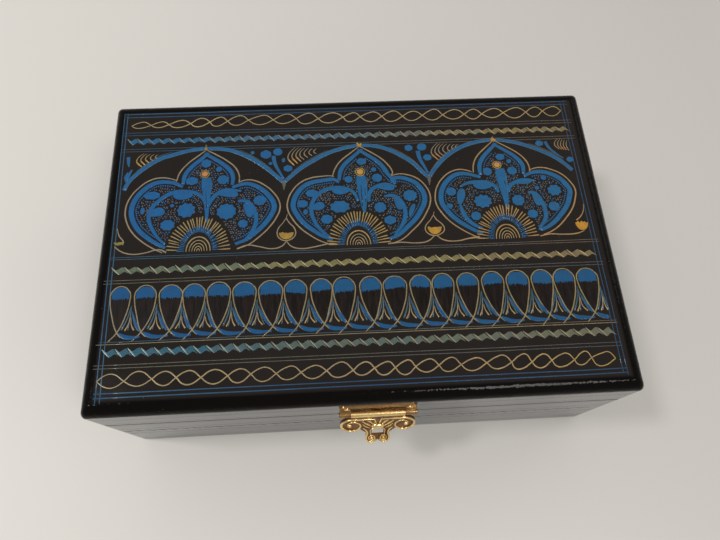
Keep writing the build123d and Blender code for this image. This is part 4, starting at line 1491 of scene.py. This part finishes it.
scrolls = wires("hasp_scrolls", [
    ([(1.2, 3.4), (4.6, 2.9), (8.4, 2.9), (11.6, 2.9), (14.4, 4.3), (15.7, 7.2), (14.4, 10.2),
      (11.4, 11.5), (8.5, 10.3), (7.5, 7.7), (8.9, 5.6), (11.2, 5.2), (12.9, 6.7), (12.4, 8.5)],
     (0.5, 0.9, 1.3, 1.1, 1.3, 1.5, 1.3, 1.1, 1.2, 1.0, 0.8, 0.8, 0.9)),
    ([(6.4, 9.8), (5.0, 11.6), (4.5, 13.6), (5.0, 15.6), (4.8, 17.4), (3.2, 18.4), (1.5, 18.0),
      (0.5, 16.8)], (0.6, 1.1, 0.9, 1.2, 1.1, 1.0, 0.8))])
flutes = wires("hasp_flutes", [
    ([(0.7, 7.1), (1.1, 4.8), (1.7, 2.3)], (0.7, 1.0, 0.6)),
    ([(2.0, 7.4), (3.4, 5.0), (4.6, 4.1)], (0.7, 1.2, 0.6)),
    ([(3.1, 8.6), (5.2, 6.4), (6.9, 4.4)], (0.6, 1.3, 0.6)),
    ([(3.4, 10.2), (5.2, 8.8), (6.6, 7.0)], (0.5, 1.0, 0.5))], 0.05, 0.38)
rings = wires("hasp_rings", [
    ([(2.6 + 1.35 * math.cos(math.radians(a)), 16.3 + 1.35 * math.sin(math.radians(a)))
      for a in range(0, 361, 30)], (0.75, 0.95, 0.75)),
    ([(0.0, 10.7), (2.0, 10.6), (3.0, 11.2), (3.1, 13.0), (2.9, 14.6)], (0.8, 0.9, 0.7, 0.6))],
    0.05, 0.36)

# %% The barrel, the boss and the beads
BARREL_RADIUS, BARREL_LENGTH = 1.42, 22.8
pick()
bpy.ops.mesh.primitive_cylinder_add(
    vertices=48, radius=BARREL_RADIUS * MM, depth=BARREL_LENGTH * MM, end_fill_type="NGON",
    location=(LATCH_X * MM, AXIS_Y * MM, AXIS_Z * MM), rotation=(0, math.pi / 2, 0))
barrel = bpy.context.object
settle(barrel)
choose(barrel, "FACE", lambda face: abs(face.normal.x) > 0.9)
for reach, depth in ((0.12, 0.12), (0.25, -0.3)):   # a chamfer, then a dished end
    bpy.ops.mesh.inset(thickness=reach * MM, depth=depth * MM, use_individual=True)
bpy.ops.object.mode_set(mode="OBJECT")
smooth(barrel, 35)

boss = bead(0.0, 8.9, 2.9, 1.75, 1.3)
beads = [bead(side * x, drop, size, size, size)
         for x, drop, size in ((12.2, 7.6, 1.05), (2.6, 16.3, 0.8), (8.6, 11.2, 0.5))
         for side in (1, -1)]
relief = join("hasp_relief", [scrolls, flutes, rings, barrel, boss] + beads)
dress(relief, "latch_bright", "hasp")
print("latch relief:", len(relief.data.polygons), "faces")

# %% [markdown]
# ## The velvet lining
# Each lining is a card with thin wadding, wrapped in velvet and pressed into
# place. Its edges are glued down and its middle is a little puffed. So each
# pad starts as a slab in the space of its solid, its seen side is divided into
# a grid with a rounded rim, and a short cloth simulation blows the middle up
# against the glued rim. A cap keeps it inside the space of the lining.

# %% Cutting a pad
CELL = 2.5   # the largest cell of the grid, which the cloth needs to bend
RIM_RADIUS = 0.7


def runs_along(piece, edge, axis):
    """Whether an edge runs along one axis."""
    first, second = (piece.data.vertices[corner].co for corner in edge.vertices)
    return abs((second - first).normalized()[axis]) > 0.99


def slab(name, solid):
    """A slab in the space of a lining, with both long ways divided."""
    low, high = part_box(solid)
    pick()
    bpy.ops.mesh.primitive_cube_add(size=1, location=(low + high) / 2, scale=high - low)
    piece = bpy.context.object
    piece.name = piece.data.name = name
    settle(piece)
    thin = min(range(3), key=lambda axis: (high - low)[axis])
    for axis in range(3):
        if axis != thin:
            choose(piece, "EDGE", lambda edge: runs_along(piece, edge, axis))
            bpy.ops.mesh.subdivide(number_cuts=int((high - low)[axis] / (CELL * MM)))
            bpy.ops.object.mode_set(mode="OBJECT")
    return piece, low, high, thin


def round_rim(piece, thin, seen):
    """Rounds the edges between the seen face and the sides."""
    choose(piece, "FACE", lambda face: face.normal[thin] * seen > 0.9)
    bpy.ops.mesh.region_to_loop()
    bpy.ops.mesh.bevel(offset=RIM_RADIUS * MM, segments=3, profile=0.5)
    bpy.ops.object.mode_set(mode="OBJECT")


# %% Puffing it up
PRESSURE = 3.0
SLACK = 0.01      # the velvet is cut this much too large
GLUED_RIM = 3.0   # how wide the rim is that is glued down
BLOWN_FOR = 16    # frames


def puff(piece, thin, seen, low, high, cap):
    """Blows the seen side up with cloth, glued at its rim and its back."""
    face_at = (high if seen > 0 else low)[thin]
    glued, free = [], []
    for point in piece.data.vertices:
        at_face = abs(point.co[thin] - face_at) < 0.05 * MM
        from_rim = min(min(point.co[axis] - low[axis], high[axis] - point.co[axis])
                       for axis in range(3) if axis != thin)
        (free if at_face and from_rim > GLUED_RIM * MM else glued).append(point.index)
    start = [point.co.copy() for point in piece.data.vertices]
    piece.vertex_groups.new(name="glued").add(glued, 1.0, "REPLACE")
    stuffing = piece.modifiers.new("stuffing", "CLOTH")
    cloth = stuffing.settings
    cloth.quality = 5
    cloth.mass = 0.15
    cloth.tension_stiffness = cloth.compression_stiffness = 12.0
    cloth.bending_stiffness = 0.4
    cloth.use_pressure = True
    cloth.uniform_pressure_force = PRESSURE
    cloth.shrink_min = -SLACK
    cloth.vertex_group_mass = "glued"
    cloth.effector_weights.gravity = 0
    for frame_number in range(1, BLOWN_FOR + 1):
        bpy.context.scene.frame_set(frame_number)
    pick(piece)
    bpy.ops.object.modifier_apply(modifier="stuffing")
    bpy.context.scene.frame_set(1)
    most = 0.0
    for index in free:
        point = piece.data.vertices[index]
        rise = (point.co - start[index])[thin] * seen
        most = max(most, rise)
        point.co = start[index]
        point.co[thin] += seen * (cap * MM * math.tanh(rise / (cap * MM)))
    piece.vertex_groups.clear()
    return most / MM


# %% Six pads
# Each is its name, its lining, the side it is seen from and how far it may puff.
VELVET_PADS = (("velvet_floor", "base_floor_lining", 1, 0.8),
               ("velvet_lid", "lid_lining", -1, 0.8),
               ("velvet_front", "base_front_lining", 1, 0.35),
               ("velvet_back", "base_back_lining", -1, 0.35),
               ("velvet_left", "base_left_lining", 1, 0.35),
               ("velvet_right", "base_right_lining", -1, 0.35))
for name, solid, seen, cap in VELVET_PADS:
    piece, low, high, thin = slab(name, solid)
    for point in piece.data.vertices:
        face_at = (high if seen > 0 else low)[thin]
        if abs(point.co[thin] - face_at) < 0.01 * MM:
            point.co[thin] -= seen * cap * MM
    round_rim(piece, thin, seen)
    inner_low, inner_high = low.copy(), high.copy()
    if seen > 0:
        inner_high[thin] -= cap * MM
    else:
        inner_low[thin] += cap * MM
    rise = puff(piece, thin, seen, inner_low, inner_high, cap)
    weld(piece)
    smooth(piece, 60)
    dress(piece, "crimson_velvet", "lid" if solid.startswith("lid") else "base")
    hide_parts(solid)
    print(name, "puffed by", round(rise, 2), "mm before the cap,",
          len(piece.data.polygons), "faces")

# %% [markdown]
# ## The table, the light and the camera
# The box stands on a pale table top, painted lighter at the left and darker at the
# right as a painted falloff of light. The main lamp hangs far up at the left, so
# the box throws a short, narrow shadow to the right and its near left corner
# glints. A soft lamp high in front, a little to the right, hides its own shadow
# behind the box and draws the broken glints along the rounded front edge. A
# faint one behind at the right keeps the shadows light.

# %% The table top
pick()
bpy.ops.mesh.primitive_grid_add(x_subdivisions=8, y_subdivisions=8, size=6.0, location=(0, 0, 0))
table_top = bpy.context.object
table_top.name = "table_top"
tree, shader = new_finish("table_white", Roughness=0.42, IOR=1.4)
# Painted light: the table's colour is lighter at the left and darker at the right, a painted falloff
# of light.
shade = span(tree, axes(tree)["X"], -0.25, 0.25)
feed(tree, shader,
     Base_Color=blend(tree, shade, (0.785, 0.77, 0.735, 1), (0.56, 0.545, 0.52, 1)))
table_top.data.materials.append(FINISHES["table_white"])

# %% The lamps
def soft_lamp(name, at, size, power):
    """A square lamp that faces the foot of the box."""
    bpy.ops.object.light_add(type="AREA", location=at)
    lamp = bpy.context.object
    lamp.name = name
    lamp.data.size = size
    lamp.data.energy = power
    lamp.data.color = (1.0, 0.985, 0.955)
    lamp.rotation_mode = "QUATERNION"
    lamp.rotation_quaternion = (-Vector(at)).to_track_quat("-Z", "Y")


pick()
soft_lamp("left_lamp", (-2.0, 0.12, 3.5), 0.45, 38.0)
soft_lamp("high_lamp", (0.56, -0.62, 1.6), 0.5, 10.5)
soft_lamp("far_lamp", (1.5, 0.9, 1.4), 0.8, 2.0)
sky = bpy.data.worlds.new("studio")
sky.use_nodes = True
feed(sky.node_tree, sky.node_tree.nodes["Background"], Color=(1.0, 0.965, 0.925, 1),
     Strength=0.47)
bpy.context.scene.world = sky

# %% The camera
CAMERA_AT = Vector((-0.01024, -0.11233, 0.31362))
LOOK = Vector((0.0397, 0.3757, -0.9259))
RIGHT = Vector((0.9983, -0.0538, 0.0210))
bpy.ops.object.camera_add(location=CAMERA_AT)
camera = bpy.context.object
camera.name = "view_from_above"
up = RIGHT.cross(LOOK)
camera.rotation_mode = "QUATERNION"
camera.rotation_quaternion = Matrix((RIGHT, up, -LOOK)).transposed().to_quaternion()
camera.data.sensor_width = 36.0
camera.data.lens = 28.87
camera.data.clip_start = 0.01
bpy.context.scene.camera = camera
bpy.context.scene.view_settings.view_transform = "Standard"
